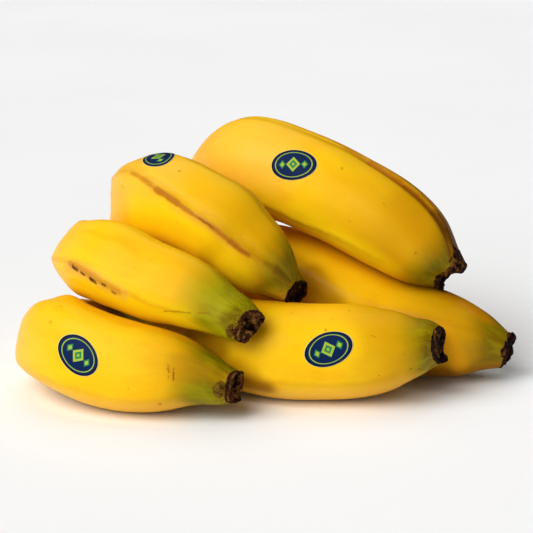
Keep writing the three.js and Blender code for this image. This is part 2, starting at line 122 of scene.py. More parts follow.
# Lines along a banana where a ridge of the peel shows: rows of [mm from the neck, angle, browning, height of the
# crest], with the crest's width, and the depth of a valley beside it at so many mm. The brown in the valley is partly
# browning and partly painted shade.
LINES = {
    "banana_1": [
        dict(rows=[[40, -46, .0, .0], [61.5, -45, .10, .22], [79, -46.5, .18, .25], [95, -43, .16, .25],
                   [109, -45.5, .12, .2], [130, -48, .05, .05]], width=1.8),
        dict(rows=[[5, 33, .25, .3], [35, 33, .25, .35], [52, 40, .12, .2], [75, 45, .03, .0]], width=1.4),
        dict(rows=[[5, 98, .2, .3], [60, 104, .3, .25], [125, 105, .1, .1]], width=1.4),
        dict(rows=[[5, 168, .2, .3], [60, 170, .2, .25], [125, 170, .1, .1]], width=1.4)],
    "banana_2": [
        dict(rows=[[10, -27, .25, .3], [45, -26, .2, .3], [59, -25.5, .25, .35], [72.7, -19.5, .3, .38], [85.2, -26.5, .4, .4],
                   [99, -27, .35, .35], [110, -34, .3, .3], [126, -36, .15, .15]], width=1.3),
        dict(rows=[[10, 50, .25, .3], [42, 50, .22, .35], [58, 56, .12, .22], [80, 60, .02, .0]], width=1.4),
        dict(rows=[[5, 117, .2, .3], [60, 120, .3, .25], [125, 120, .1, .1]], width=1.4),
        dict(rows=[[5, 187, .2, .3], [60, 187, .2, .25], [125, 187, .1, .1]], width=1.4)],
    "banana_3": [
        dict(rows=[[20, 31, .2, .3], [50, 25, .25, .3], [59.5, 20, .35, .35], [65.3, 17, .4, .4], [70.1, 13, .45, .45],
                   [78.2, 2.5, .62, .55], [82.8, 0.5, .6, .55], [91, -5.5, .45, .5], [96.6, -6.3, .6, .5],
                   [102, -7, .62, .5], [108.6, -5, .6, .5], [116.8, 1.5, .62, .45], [124, 4, .45, .4],
                   [131, 4, .5, .35], [137, 3, .3, .1]], width=1.5, valley=[2.4, .45, 1.9, .45]),
        dict(rows=[[10, 88, .2, .3], [50, 82, .25, .3], [80, 66, .3, .3], [125, 64, .2, .1]], width=1.4),
        dict(rows=[[10, -58, .2, .25], [60, -68, .1, .2], [95, -78, .1, .15], [125, -78, .05, .05]], width=1.6),
        dict(rows=[[10, 147, .2, .3], [60, 136, .25, .25], [125, 128, .1, .1]], width=1.4),
        dict(rows=[[10, 212, .2, .3], [60, 207, .25, .25], [125, 194, .1, .1]], width=1.4)],
    "banana_4": [
        dict(rows=[[15, -58, .2, .3], [60, -52, .22, .3], [79.8, -48.5, .42, .38], [97.8, -52.5, .4, .4],
                   [119.5, -47.5, .3, .35], [140, -46, .12, .15]], width=1.5),
        dict(rows=[[15, 64, .1, .3], [80, 71, .1, .22], [102.7, 73.5, .3, .5], [112.4, 70.5, .45, .75], [121.8, 67.5, .5, .85],
                   [130.6, 66, .6, .85], [140.3, 66, .7, .75], [149.5, 63, .85, .55], [158, 55, 1.0, .3]], width=1.5,
             valley=[-3.0, .75, 1.9, 1.15]),
        dict(rows=[[15, 117, .2, .3], [80, 117, .35, .35], [150, 117, .3, .15]], width=1.5),
        dict(rows=[[15, 178, .2, .3], [80, 178, .2, .3], [150, 178, .1, .1]], width=1.5),
        dict(rows=[[15, -120, .2, .3], [80, -120, .2, .3], [150, -120, .1, .1]], width=1.5)],
    "banana_5": [
        dict(rows=[[15, 15, .2, .3], [90, 15, .1, .15], [128.8, 19, .22, .25], [146.3, 16.5, .25, .2], [155, 24.5, .1, .05]], width=1.7),
        dict(rows=[[15, 87, .2, .3], [80, 87, .25, .3], [150, 87, .1, .1]], width=1.5),
        dict(rows=[[15, -60, .2, .3], [80, -60, .2, .25], [150, -60, .1, .1]], width=1.5),
        dict(rows=[[15, 158, .2, .3], [80, 158, .25, .3], [150, 158, .1, .1]], width=1.5),
        dict(rows=[[15, 227, .2, .3], [80, 227, .25, .3], [150, 227, .1, .1]], width=1.5)],
    "banana_6": [
        dict(rows=[[15, -43, .2, .3], [70, -41, .12, .2], [89.2, -39, .16, .28], [99.7, -40, .18, .3], [114.5, -42.5, .18, .3],
                   [130.2, -41, .15, .28], [142, -38, .05, .1]], width=1.7),
        dict(rows=[[15, 80, .2, .3], [80, 80, .12, .2], [145, 80, .05, .05]], width=1.6),
        dict(rows=[[15, 142, .2, .3], [80, 142, .25, .25], [145, 142, .1, .1]], width=1.5),
        dict(rows=[[15, 202, .2, .3], [80, 202, .25, .25], [145, 202, .1, .1]], width=1.5),
        dict(rows=[[15, 260, .2, .3], [80, 260, .2, .25], [145, 260, .1, .1]], width=1.5)],
}

# The blossom ends. bend: how far the last mm turn towards -Y, slant: how far the scar's plane turns on from there, lift: and upwards,
# out: where its middle is past the spine's end, sag: dips of the face [v, w, size, size, depth], rim: its outline in v, w,
# reach: how far the crust reaches back over the peel by angle, folds: [kind, tone, [[v, w, height, radius], ...]] (a lump, a ridge or a pit).
# A fold's pale tone is partly painted highlight, and a pit's black partly painted shade.
TIPS = {
    "banana_1": dict(
        bend=9, slant=12, lift=0, out=-1.1, tone=1.3, sag=[],
        reach=[[0, 0.6], [180, 0.6]],
        bumps=[[144.7, -17, 3.0, 1.0]],
        rim=[[5.53, -0.69], [5.74, 2.11], [5.0, 4.86], [3.24, 6.41], [1.03, 6.59], [-0.73, 5.92], [-2.05, 4.54], [-3.45, 4.53], [-5.28, 5.01], [-6.47, 3.19], [-6.74, 0.03], [-6.12, -3.22], [-4.61, -5.19], [-2.42, -5.5], [-0.27, -5.12], [2.09, -5.04], [4.21, -4.01]],
        folds=[
            ["fold", 2.8, [[5.1, 0.6, 0.33, 0.43], [3.97, -2.23, 0.37, 0.39], [2.89, -2.68, 0.13, 0.39], [1.4, -2.63, -0.06, 0.39], [0.12, -2.9, -0.17, 0.39], [-1.35, -2.92, -0.17, 0.39]]],
            ["fold", 2.5, [[3.98, 3.63, 0.13, 0.39], [2.44, 4.42, 0.18, 0.51], [1.01, 4.87, 0.05, 0.39]]],
            ["fold", 0.8, [[4.9, 4.3, 0.27, 0.9]]],
            ["pit", 0.75, [[3.39, 1.68, -0.34, 1.3], [0.65, 1.47, -0.39, 1.35]]],
            ["pit", 0.1, [[-0.03, 0.86, -0.49, 0.8]]],
            ["pit", 0.1, [[-2.06, 1.52, -0.35, 0.65]]],
            ["fold", 2.2, [[1.75, -0.35, -1.17, 0.55]]],
            ["fold", 2.7, [[-1.19, 0.99, -0.47, 0.31], [-0.67, 3.09, -0.24, 0.33], [0.25, 4.58, -0.02, 0.33]]],
            ["fold", 2.3, [[-2.34, 3.43, -0.05, 0.45], [-1.67, 4.55, 0.26, 0.45], [-0.86, 5.68, 0.16, 0.45]]],
            ["fold", 2.7, [[-2.58, -4.38, 0.05, 0.43], [-4.04, -4.23, 0.34, 0.47], [-5.44, -3.2, 0.37, 0.47]]],
            ["pit", 1.0, [[-4.28, -1.92, -0.09, 0.6]]],
            ["fold", 2.1, [[-2.24, -0.7, -0.37, 0.5], [-3.29, 0.75, -0.28, 0.5], [-4.37, 1.72, -0.13, 0.5]]],
            ["fold", 3.0, [[-4.58, -0.53, -0.0, 0.43]]],
            ["fold", 1.9, [[-2.99, 2.47, -0.38, 0.55], [-4.13, 2.63, -0.15, 0.5]]],
            ["fold", 0.05, [[-5.22, 3.52, 0.47, 1.1]]],
            ["fold", 0.4, [[-6.01, 1.8, 0.18, 0.8]]],
            ["fold", 1.4, [[-6.12, -0.98, 0.06, 0.7]]],
        ]),
    "banana_2": dict(
        bend=11, slant=24, lift=0, out=-1.95, tone=1.3, sag=[],
        reach=[[0, 0.6], [180, 0.6]],
        bumps=[[147.7, -45, 2.7, 0.8]],
        rim=[[4.63, -4.06], [6.01, -1.58], [6.38, 1.11], [5.55, 3.46], [3.75, 5.88], [1.95, 5.75], [-0.12, 4.2], [-2.69, 3.22], [-4.22, 1.12], [-6.23, 0.69], [-7.07, -0.78], [-6.28, -3.48], [-5.31, -5.61], [-2.74, -6.37], [-0.53, -6.03], [0.94, -4.98], [3.02, -4.71]],
        folds=[
            ["pit", 0.0, [[0.29, -1.22, -0.35, 1.3], [-0.66, 1.27, -0.4, 1.45]]],
            ["pit", 0.7, [[2.17, -1.65, -0.37, 0.85], [3.41, -2.49, -0.22, 0.7]]],
            ["fold", 2.6, [[5.28, -1.15, 0.13, 0.47], [4.79, 1.01, 0.27, 0.55], [4.43, 2.91, 0.27, 0.47]]],
            ["pit", 0.9, [[3.94, -0.12, -0.23, 0.6]]],
            ["fold", 2.8, [[3.15, 1.39, -0.18, 0.58]]],
            ["fold", 2.1, [[1.72, 1.96, -0.71, 1.2]]],
            ["fold", 2.5, [[2.83, 3.44, -0.13, 0.55]]],
            ["fold", 0.35, [[2.13, 4.61, 0.04, 1.05]]],
            ["fold", 1.9, [[4.19, 4.06, 0.36, 0.9]]],
            ["fold", 1.0, [[5.38, 3.83, -0.01, 0.6], [3.67, 5.29, 0.19, 0.6], [2.12, 5.28, 0.09, 0.6]]],
            ["fold", 1.9, [[1.4, -2.85, -0.36, 0.7]]],
            ["fold", 2.5, [[-0.19, -4.12, -0.21, 0.47], [-1.35, -4.53, 0.05, 0.47], [-2.8, -4.99, 0.25, 0.47], [-4.35, -4.71, 0.31, 0.47]]],
            ["pit", 0.8, [[-2.41, -3.46, -0.24, 0.65]]],
            ["fold", 2.95, [[-4.3, -2.06, 0.06, 0.62]]],
            ["fold", 2.7, [[-4.9, -4.15, 0.31, 0.55]]],
            ["fold", 2.9, [[-2.74, -0.49, -0.25, 0.39], [-2.24, 0.57, -0.15, 0.47], [-2.2, 1.53, -0.16, 0.39]]],
            ["pit", 1.2, [[-3.68, -0.09, -0.23, 0.5]]],
            ["fold", 2.6, [[-3.05, 1.02, 0.06, 0.39]]],
            ["fold", 1.0, [[-0.13, 3.89, 0.06, 0.6], [-2.26, 2.79, 0.0, 0.6], [-4.1, 0.97, 0.04, 0.6]]],
            ["fold", 1.2, [[-6.02, -1.73, 0.18, 1.0]]],
            ["fold", 1.1, [[-5.2, -0.2, -0.12, 0.8]]],
        ]),
    "banana_3": dict(
        bend=15, slant=8, lift=18, out=0.1, tone=0.35, sag=[],
        reach=[[-100, 0.9], [0, 0.5], [90, 0.5], [180, 0.6]],
        bumps=[],
        rim=[[-4.67, -6.84], [-2.12, -6.27], [0.19, -3.49], [2.8, -0.01], [2.95, 3.75], [2.57, 7.44], [0.61, 8.38], [-1.44, 8.27], [-3.86, 7.46], [-6.16, 4.03], [-6.69, -1.82]],
        folds=[
            ["fold", 1.9, [[1.13, 7.29, 0.09, 0.45], [-0.82, 8.49, 0.1, 0.45], [-3.23, 7.81, 0.05, 0.45]]],
            ["fold", 1.6, [[1.05, 2.33, -0.58, 0.6]]],
            ["fold", 1.7, [[-1.37, -3.08, -0.57, 0.6]]],
            ["pit", 0.05, [[-2.64, 2.19, -0.37, 1.9], [-1.16, 4.43, -0.36, 1.9]]],
            ["fold", 0.5, [[1.74, 5.47, 0.14, 0.9]]],
            ["fold", 1.1, [[-0.41, 5.02, -0.3, 0.5]]],
            ["fold", 0.7, [[-3.82, -1.62, -0.31, 0.8]]],
            ["fold", 1.0, [[-4.24, 4.89, 0.1, 0.7]]],
        ]),
    "banana_4": dict(
        bend=0, slant=2, lift=0, out=0.0, tone=0.95, sag=[[-3.6, 0, 4.2, 99, 3.5]],
        reach=[[-180, 1.6], [-120, 1.6], [-85, 2.4], [-50, 4.2], [-22, 7.5], [0, 10.0], [35, 9.0], [70, 5.0], [120, 3.0]],
        bumps=[],
        rim=[[7.6, 0], [7.0, 3.2], [4.6, 5.9], [0, 7.3], [-4.6, 6.0], [-6.9, 3.0], [-7.4, 0], [-6.7, -3.2], [-4.4, -5.8], [0, -7.0], [4.7, -5.7], [7.1, -3.1]],
        folds=[
            ["fold", 0.7, [[5.37, -0.5, -0.75, 2.95]]],
            ["fold", 0.8, [[6.47, -2.4, -5.49, 2.3], [3.99, -3.6, -3.88, 2.6], [4.34, -2.6, -1.8, 2.9]]],
            ["fold", 2.5, [[5.03, -8.17, -3.62, 0.39], [6.43, -7.3, -3.24, 0.39], [6.23, -6.7, -1.95, 0.39]]],
            ["fold", 2.4, [[7.01, -5.59, -1.6, 0.35], [6.36, -3.28, 0.29, 0.39], [4.34, 4.3, 0.09, 0.39]]],
            ["fold", 2.3, [[3.91, -7.78, -1.67, 0.5], [3.83, -6.3, -0.0, 0.5]]],
            ["fold", 2.2, [[6.39, -8.25, -5.38, 0.5], [4.49, -9.12, -4.89, 0.5]]],
            ["fold", 1.7, [[7.33, -0.3, -3.48, 2.2], [8.99, 0.4, -6.11, 1.8]]],
            ["fold", 2.6, [[3.22, -8.71, -3.23, 0.47], [4.52, -8.0, -2.71, 0.47]]],
            ["fold", 2.7, [[5.91, -3.2, -1.16, 0.58]]],
            ["fold", 2.9, [[3.47, -2.6, -0.54, 0.47]]],
            ["fold", 2.5, [[0.96, -8.57, -3.47, 0.51], [-0.73, -7.72, -2.56, 0.47], [-2.84, 6.86, -2.79, 0.43]]],
            ["fold", 0.5, [[2.61, -7.63, -1.44, 0.9]]],
            ["fold", 0.4, [[6.04, -6.9, -2.44, 0.7]]],
            ["fold", 0.3, [[10.1, -6.48, -7.15, 1.0], [7.81, -6.93, -4.82, 1.2]]],
            ["fold", 2.0, [[7.65, -1.5, -1.1, 0.8]]],
            ["fold", 0.1, [[6.86, -0.5, 0.57, 1.1]]],
            ["fold", 0.2, [[-0.45, -1.0, -2.1, 1.0], [-3.57, -1.0, -2.24, 1.0]]],
            ["fold", 0.3, [[-5.58, -0.0, -1.86, 1.4]]],
            ["fold", 0.2, [[-6.72, 0.0, -0.59, 0.9]]],
        ]),
    "banana_5": dict(
        bend=0, slant=4, lift=0, out=0.0, tone=0.4, sag=[],
        reach=[[-180, 0.8], [-120, 1.5], [-90, 3.2], [-45, 2.6], [0, 1.6], [60, 1.8], [120, 1.5]],
        bumps=[],
        rim=[[6.4, 0], [5.6, 3.5], [3.3, 5.9], [0, 7.0], [-3.7, 6.1], [-6.4, 3.6], [-7.6, 0], [-6.5, -3.4], [-3.8, -5.8], [0, -6.6], [3.4, -5.6], [5.6, -3.2]],
        folds=[
            ["fold", 0.12, [[5.56, -0.9, -0.39, 2.0], [3.73, -1.0, -0.4, 1.7]]],
            ["fold", 0.1, [[6.78, -0.0, -0.1, 1.25]]],
            ["fold", 0.12, [[2.14, -0.6, -0.81, 1.6], [0.24, -1.0, 0.51, 2.0], [-2.44, -0.6, 0.57, 1.6], [-5.04, -0.3, 0.19, 1.1]]],
            ["fold", 1.9, [[7.09, -2.2, -2.09, 0.7], [5.41, -5.31, -2.66, 0.5]]],
            ["fold", 1.9, [[-0.01, -8.22, -1.99, 0.55], [-1.82, -7.67, -1.66, 0.5]]],
            ["fold", 1.0, [[-0.27, -8.35, -3.04, 0.6], [-2.72, -7.54, -2.25, 0.6]]],
            ["fold", 0.6, [[2.98, -7.6, -2.11, 0.9]]],
        ]),
    "banana_6": dict(
        bend=10, slant=16, lift=0, out=-0.7, tone=0.45, sag=[],
        reach=[[0, 0.5], [180, 0.5]],
        bumps=[],
        rim=[[7.66, -2.26], [7.76, 2.17], [6.39, 5.46], [4.59, 7.04], [2.39, 6.35], [-0.01, 4.94], [-2.05, 4.87], [-3.97, 6.52], [-5.79, 6.07], [-6.85, 3.68], [-6.17, -0.97], [-4.46, -4.47], [-1.93, -6.93], [1.32, -8.3], [3.68, -7.55], [5.75, -6.12]],
        folds=[
            ["fold", 2.6, [[6.34, -5.45, 0.23, 0.33], [4.4, -6.81, 0.31, 0.35], [2.22, -4.14, -0.2, 0.33], [-0.96, -3.44, -0.22, 0.35], [-3.06, -1.52, -0.2, 0.35], [-4.05, 1.32, -0.25, 0.31]]],
            ["fold", 2.4, [[5.21, -4.96, 0.26, 0.31], [4.72, -0.5, -0.12, 0.39], [5.96, 1.02, 0.08, 0.35]]],
            ["fold", 2.2, [[4.53, -0.42, -0.14, 0.45], [3.05, -1.28, -0.27, 0.4]]],
            ["fold", 0.5, [[5.35, 3.03, 0.17, 1.2]]],
            ["fold", 0.6, [[3.03, 4.38, -0.24, 1.0]]],
            ["fold", 0.9, [[0.14, 3.21, -0.27, 0.85]]],
            ["fold", 1.5, [[-1.78, 2.44, -0.37, 0.7]]],
            ["pit", 0.4, [[3.15, 1.32, -0.37, 0.6], [1.13, 1.09, -0.35, 0.65]]],
            ["fold", 0.05, [[-5.0, 4.8, 0.25, 1.95]]],
        ]),
}
BEND_LENGTH = 14.0
MORPH_LENGTH = 13.0
TO_CAMERA = np.array([0.0, -0.9659, 0.2588])


def keyed(keys, x):
    """Straight interpolation between keyframes [[x, y], ...]; y is a number or a list."""
    xs = [k[0] for k in keys]
    ys = np.array([k[1] for k in keys], float)
    if ys.ndim == 1:
        return np.interp(x, xs, ys)
    return np.stack([np.interp(x, xs, ys[:, k]) for k in range(ys.shape[1])], -1)


def eased(keys, x):
    """The same with a soft start and end on each stretch. keys may fall or rise."""
    k = np.array(sorted([list(map(float, v)) for v in keys]))
    i = np.clip(np.searchsorted(k[:, 0], x, side="right") - 1, 0, len(k) - 2)
    t = np.clip((x - k[i, 0]) / (k[i + 1, 0] - k[i, 0]), 0, 1)
    t = t * t * (3 - 2 * t)
    return k[i, 1] * (1 - t) + k[i + 1, 1] * t


def smoothstep(a, b, x):
    t = np.clip((x - a) / (b - a), 0, 1)
    return t * t * (3 - 2 * t)


def unit(v):
    return v / np.linalg.norm(v, axis=-1, keepdims=True)


_rng = np.random.default_rng(7)
_GRAD = unit(_rng.normal(size=(256, 3)))
_PERM = np.concatenate([_rng.permutation(256)] * 3)


def noise3(p, seed=0):
    """Gradient noise, about -1 to 1, at points p."""
    p = np.asarray(p, float) + seed * 17.31
    i = np.floor(p).astype(int)
    f = p - i
    w = f * f * f * (f * (f * 6 - 15) + 10)
    i &= 255
    out = 0
    for dx in (0, 1):
        for dy in (0, 1):
            for dz in (0, 1):
                h = _PERM[_PERM[_PERM[(i[..., 0] + dx) & 255] + ((i[..., 1] + dy) & 255)] + ((i[..., 2] + dz) & 255)]
                g = _GRAD[h]
                d = g[..., 0] * (f[..., 0] - dx) + g[..., 1] * (f[..., 1] - dy) + g[..., 2] * (f[..., 2] - dz)
                wx = w[..., 0] if dx else 1 - w[..., 0]
                wy = w[..., 1] if dy else 1 - w[..., 1]
                wz = w[..., 2] if dz else 1 - w[..., 2]
                out = out + d * wx * wy * wz
    return out * 1.6


def fbm(p, octaves=3, seed=0, gain=0.5):
    p = np.asarray(p, float)
    a, out = 1.0, 0.0
    for k in range(octaves):
        out = out + a * noise3(p * (2.03 ** k), seed + 5 * k)
        a *= gain
    return out


def natural_spline(rows):
    y = np.array(rows, float)
    t = np.r_[0, np.cumsum(np.linalg.norm(np.diff(y[:, :3], axis=0), axis=1))]
    n, h = len(t), np.diff(t)
    A = np.zeros((n, n))
    rhs = np.zeros_like(y)
    A[0, 0] = A[-1, -1] = 1
    for i in range(1, n - 1):
        A[i, i - 1], A[i, i], A[i, i + 1] = h[i - 1], 2 * (h[i - 1] + h[i]), h[i]
        rhs[i] = 6 * ((y[i + 1] - y[i]) / h[i] - (y[i] - y[i - 1]) / h[i - 1])
    M = np.linalg.solve(A, rhs)

    def at(x):
        i = np.clip(np.searchsorted(t, x, side="right") - 1, 0, n - 2)
        a, b, hi = (t[i + 1] - x)[:, None], (x - t[i])[:, None], h[i][:, None]
        return (M[i] * a ** 3 + M[i + 1] * b ** 3) / (6 * hi) + (y[i] / hi - M[i] * hi / 6) * a + (y[i + 1] / hi - M[i + 1] * hi / 6) * b

    return at, t


def soft_polygon(th, A, power=6.0):
    """Radius factor at angles th (n, m) for rows of corner angles A (n, k): a polygon with soft corners, mean 1."""
    k = A.shape[1]

    def raw(t):
        f = 0
        for i in range(k):
            a = A[:, i]
            b = A[:, (i + 1) % k] + (2 * np.pi if i == k - 1 else 0)
            f = f + (np.maximum(0, np.cos(t - ((a + b) / 2)[:, None])) / np.cos((b - a) / 2)[:, None]) ** power
        return f ** (-1 / power)

    mean = raw(np.repeat(np.linspace(0, 2 * np.pi, 90, endpoint=False)[None], len(A), 0)).mean(1)
    return raw(th) / mean[:, None]


class Banana:
    """The smooth skin that part.mjs facets, as a function of mm along the spine and angle round it."""

    def __init__(self, d):
        N = 400
        at, knots = natural_spline(d["spine"])
        fine = at(np.linspace(0, knots[-1], 4 * N))
        arc = np.r_[0, np.cumsum(np.linalg.norm(np.diff(fine[:, :3], axis=0), axis=1))]
        self.d, self.L = d, arc[-1]
        s = np.linspace(0, self.L, N)
        row = np.stack([np.interp(s, arc, fine[:, k]) for k in range(4)], 1)
        c, self.r, self.s = row[:, :3], row[:, 3], s
        T = unit(np.gradient(c, axis=0))
        at_knot, direction = d["facing"]
        k0 = int(round(knots[at_knot] / knots[-1] * (4 * N - 1)))
        i0 = int(round(arc[k0] / self.L * (N - 1)))
        direction = np.array(direction, float)
        Nn = np.zeros_like(T)
        Nn[i0] = unit(direction - T[i0] * (direction @ T[i0]))

        def step(x0, x1, t0, t1, n0):
            v1 = x1 - x0
            nl = n0 - 2 / (v1 @ v1) * (v1 @ n0) * v1
            tl = t0 - 2 / (v1 @ v1) * (v1 @ t0) * v1
            v2 = t1 - tl
            return nl if v2 @ v2 < 1e-18 else nl - 2 / (v2 @ v2) * (v2 @ nl) * v2

        for i in range(i0, N - 1):
            Nn[i + 1] = step(c[i], c[i + 1], T[i], T[i + 1], Nn[i])
        for i in range(i0, 0, -1):
            Nn[i - 1] = step(c[i], c[i - 1], -T[i], -T[i - 1], Nn[i])
        self.c, self.T, self.N, self.B = c, T, Nn, np.cross(Nn, T)

    def frames(self, s):
        x = np.clip(s, 0, self.L)
        f = lambda a: np.stack([np.interp(x, self.s, a[:, k]) for k in range(3)], 1)
        T = unit(f(self.T))
        return f(self.c) + T * (s - x)[:, None], T, unit(f(self.N)), unit(f(self.B)), np.interp(x, self.s, self.r)

    def radius(self, s, th):
        """(n,) and (n, m) to (n, m)"""
        u = np.clip(s / self.L, 0, 1)
        r = np.interp(np.clip(s, 0, self.L), self.s, self.r)
        q = r[:, None] * (1 + keyed(self.d["sharp"], u)[:, None] * (soft_polygon(th, rad(keyed(self.d["corners"], u))) - 1))
        for s0, a0, out, ws, wa in self.d.get("swells", []):
            q = q + out * np.exp(-((s - s0) / ws) ** 2)[:, None] * np.exp(-(angle_gap(th, rad(a0)) / rad(wa)) ** 2)
        return q

    def surface(self, s, th):
        s = np.asarray(s, float)
        th = np.repeat(np.asarray(th, float)[None], len(s), 0)
        c, T, N, B, r = self.frames(s)
        q = self.radius(s, th)[..., None]
        return c[:, None] + q * (np.cos(th)[..., None] * N[:, None] + np.sin(th)[..., None] * B[:, None])


def rotate(v, axis, angle):
    """v (..., 3) turned about a unit axis by an angle of v's leading shape."""
    c, s = np.cos(angle)[..., None], np.sin(angle)[..., None]
    return v * c + np.cross(np.broadcast_to(axis, v.shape), v) * s + axis * (v @ axis)[..., None] * (1 - c)


def grid_normals(P):
    du = np.gradient(P, axis=0)
    dt = np.roll(P, -1, 1) - np.roll(P, 1, 1)
    n = unit(np.cross(du, dt) + 1e-12)
    out = P - P.mean(1, keepdims=True)
    if (n * out).sum(-1).mean() < 0:
        n = -n
    return n


COLUMNS = 200


def column_angles(name):
    """Angles of the grid's columns from back to back, closer together near the ridges that face -Y."""
    t = np.linspace(-np.pi, np.pi, 2001)
    dens = np.ones_like(t)
    for line in LINES[name][:2]:
        for row in line["rows"][1:-1]:
            a = (rad(row[1]) + np.pi) % (2 * np.pi) - np.pi
            dens = dens + 1.1 / (len(line["rows"]) - 2) * np.exp(-((t - a) / 0.28) ** 2)
    cdf = np.r_[0, np.cumsum((dens[1:] + dens[:-1]) / 2)]
    return np.interp(np.arange(COLUMNS) / COLUMNS * cdf[-1], cdf, t)


def angle_gap(th, a):
    return (th - a + np.pi) % (2 * np.pi) - np.pi


UP_SEEN = np.array([0.0, 0.2588, 0.9659])


def plane_axes(A):
    """Two directions in the scar's plane: upwards, and to the right or away from -Y."""
    V = unit(UP_SEEN - A * (UP_SEEN @ A))
    return V, np.cross(V, A)


def outline_radius(points, phi):
    """Radius at the angles phi of the outline through the points, which go round the middle."""
    q = np.array(points, float)
    a, r = np.arctan2(q[:, 1], q[:, 0]), np.hypot(q[:, 0], q[:, 1])
    o = np.argsort(a)
    t = np.linspace(-np.pi, np.pi, 361)
    ring = np.interp(t, np.r_[a[o][-1] - 2 * np.pi, a[o], a[o][0] + 2 * np.pi], np.r_[r[o][-1], r[o], r[o][0]])[:-1]
    for _ in range(12):
        ring = (np.roll(ring, 1) + 2 * ring + np.roll(ring, -1)) / 4
    return np.interp((phi + np.pi) % (2 * np.pi) - np.pi, t, np.r_[ring, ring[0]])


def sag(tip, v, w):
    """How far the scar's face is from its plane at v, w."""
    out = 0.0 * v
    for v0, w0, sv, sw, depth in tip["sag"]:
        out = out - depth * np.exp(-((v - v0) / sv) ** 2 - ((w - w0) / sw) ** 2)
    return out


def end_table(skin, mid, A, V, W):
    """Radius of the peel round the scar's axis by angle and height, and the height of its end by angle."""
    d = skin[-40:] - mid
    a, pv, pw = d @ A, d @ V, d @ W
    phi, rho = np.arctan2(pw, pv), np.hypot(pv, pw)
    t = np.linspace(-np.pi, np.pi, 181)
    AA, RR = [], []
    for k in range(len(d)):
        o = np.argsort(phi[k])
        x = np.r_[phi[k][o][-4:] - 2 * np.pi, phi[k][o], phi[k][o][:4] + 2 * np.pi]
        AA.append(np.interp(t, x, np.r_[a[k][o][-4:], a[k][o], a[k][o][:4]]))
        RR.append(np.interp(t, x, np.r_[rho[k][o][-4:], rho[k][o], rho[k][o][:4]]))
    AA, RR = np.maximum.accumulate(np.array(AA), axis=0), np.array(RR)
    z = np.arange(-13.0, 4.01, 0.25)
    return t, z, np.stack([np.interp(z, AA[:, j], RR[:, j]) for j in range(len(t))]), AA[-1]


def scar_body(q, tip, table, seed):
    """The crust that caps a blossom end, without its folds, at points q of v, w and height."""
    t, z, tab, end = table
    v, w, a = q[:, 0], q[:, 1], q[:, 2]
    phi, rho = np.arctan2(w, v), np.hypot(v, w)
    i = np.clip((phi + np.pi) / (2 * np.pi) * 180, 0, 179.999)
    j = np.clip((a - z[0]) / 0.25, 0, len(z) - 1.001)
    i0, j0 = i.astype(int), j.astype(int)
    fi, fj = i - i0, j - j0
    R = (tab[i0, j0] * (1 - fi) + tab[i0 + 1, j0] * fi) * (1 - fj) + (tab[i0, j0 + 1] * (1 - fi) + tab[i0 + 1, j0 + 1] * fi) * fj
    ring = np.stack([np.cos(phi), np.sin(phi), 0 * phi], 1)
    far = np.array(tip["reach"], float)
    turn = np.r_[far[-1, 0] - 360, far[:, 0], far[0, 0] + 360]
    reach = np.interp(np.degrees(phi), turn, np.r_[far[-1, 1], far[:, 1], far[0, 1]])
    reach = reach * (1 + 0.16 * noise3(ring * 1.7, seed + 1) + 0.13 * noise3(ring * 4.6, seed + 2) + 0.10 * noise3(ring * 11, seed + 3))
    under = (np.interp(phi, t, end) - a) / np.maximum(reach, .3)
    pleat = noise3(np.stack([np.cos(phi) * 5.5, np.sin(phi) * 5.5, a * .22], 1), seed + 4)
    side = rho - R - np.interp(under, [-.2, .5, 1.0, 1.7], [.30, .26, -.02, -.75]) - 0.15 * pleat
    top = a - sag(tip, v, w) + 0.55 * (1 - smoothstep(.50, .93, rho / R))
    f = soft_max(side * .93, top, 0.7)
    f = soft_max(f, -(a + far[:, 1].max() * 1.25 + 1.8), 0.3)
    return f


def tube(q, pts):
    """Distance from a chain of [v, w, a, radius]."""
    best = None
    pts = np.array(pts, float)
    if len(pts) == 1:
        return np.sqrt(((q - pts[0, :3]) ** 2).sum(1)) - pts[0, 3]
    for a, b in zip(pts[:-1], pts[1:]):
        ab = b[:3] - a[:3]
        h = np.clip(((q - a[:3]) @ ab) / (ab @ ab), 0, 1)
        d = np.sqrt(((q - a[:3] - h[:, None] * ab) ** 2).sum(1)) - (a[3] + (b[3] - a[3]) * h)
        best = d if best is None else np.minimum(best, d)
    return best


def scar_field(q, tip, table, seed):
    """The crust with its folds, and its tone: 0 black, 1 maroon, 2 brown, 3 pale mauve. The pale tone of the folds is
    partly painted highlight, and the black of the pits partly painted shade.
    """
    f = scar_body(q, tip, table, seed)
    bent = q + 0.30 * np.stack([noise3(q / 1.6, seed + 5), noise3(q / 1.6, seed + 6), noise3(q / 1.6, seed + 7)], 1)
    weight, tone = np.full(len(q), 0.30), np.full(len(q), 0.30 * tip["tone"])
    for kind, shade, pts in tip["folds"]:
        d = tube(bent, pts)
        if kind == "pit":
            f = soft_max(f, -d, 0.45)
        else:
            f = soft_min(f, d, 0.55)
        near = np.exp(-(np.maximum(d + 0.06, 0) / 0.27) ** 2)
        weight, tone = weight + near, tone + near * shade
    f = f - 0.16 * fbm(q / 1.9, 2, seed + 8) - 0.10 * noise3(q / 0.62, seed + 9)
    return f, tone / weight


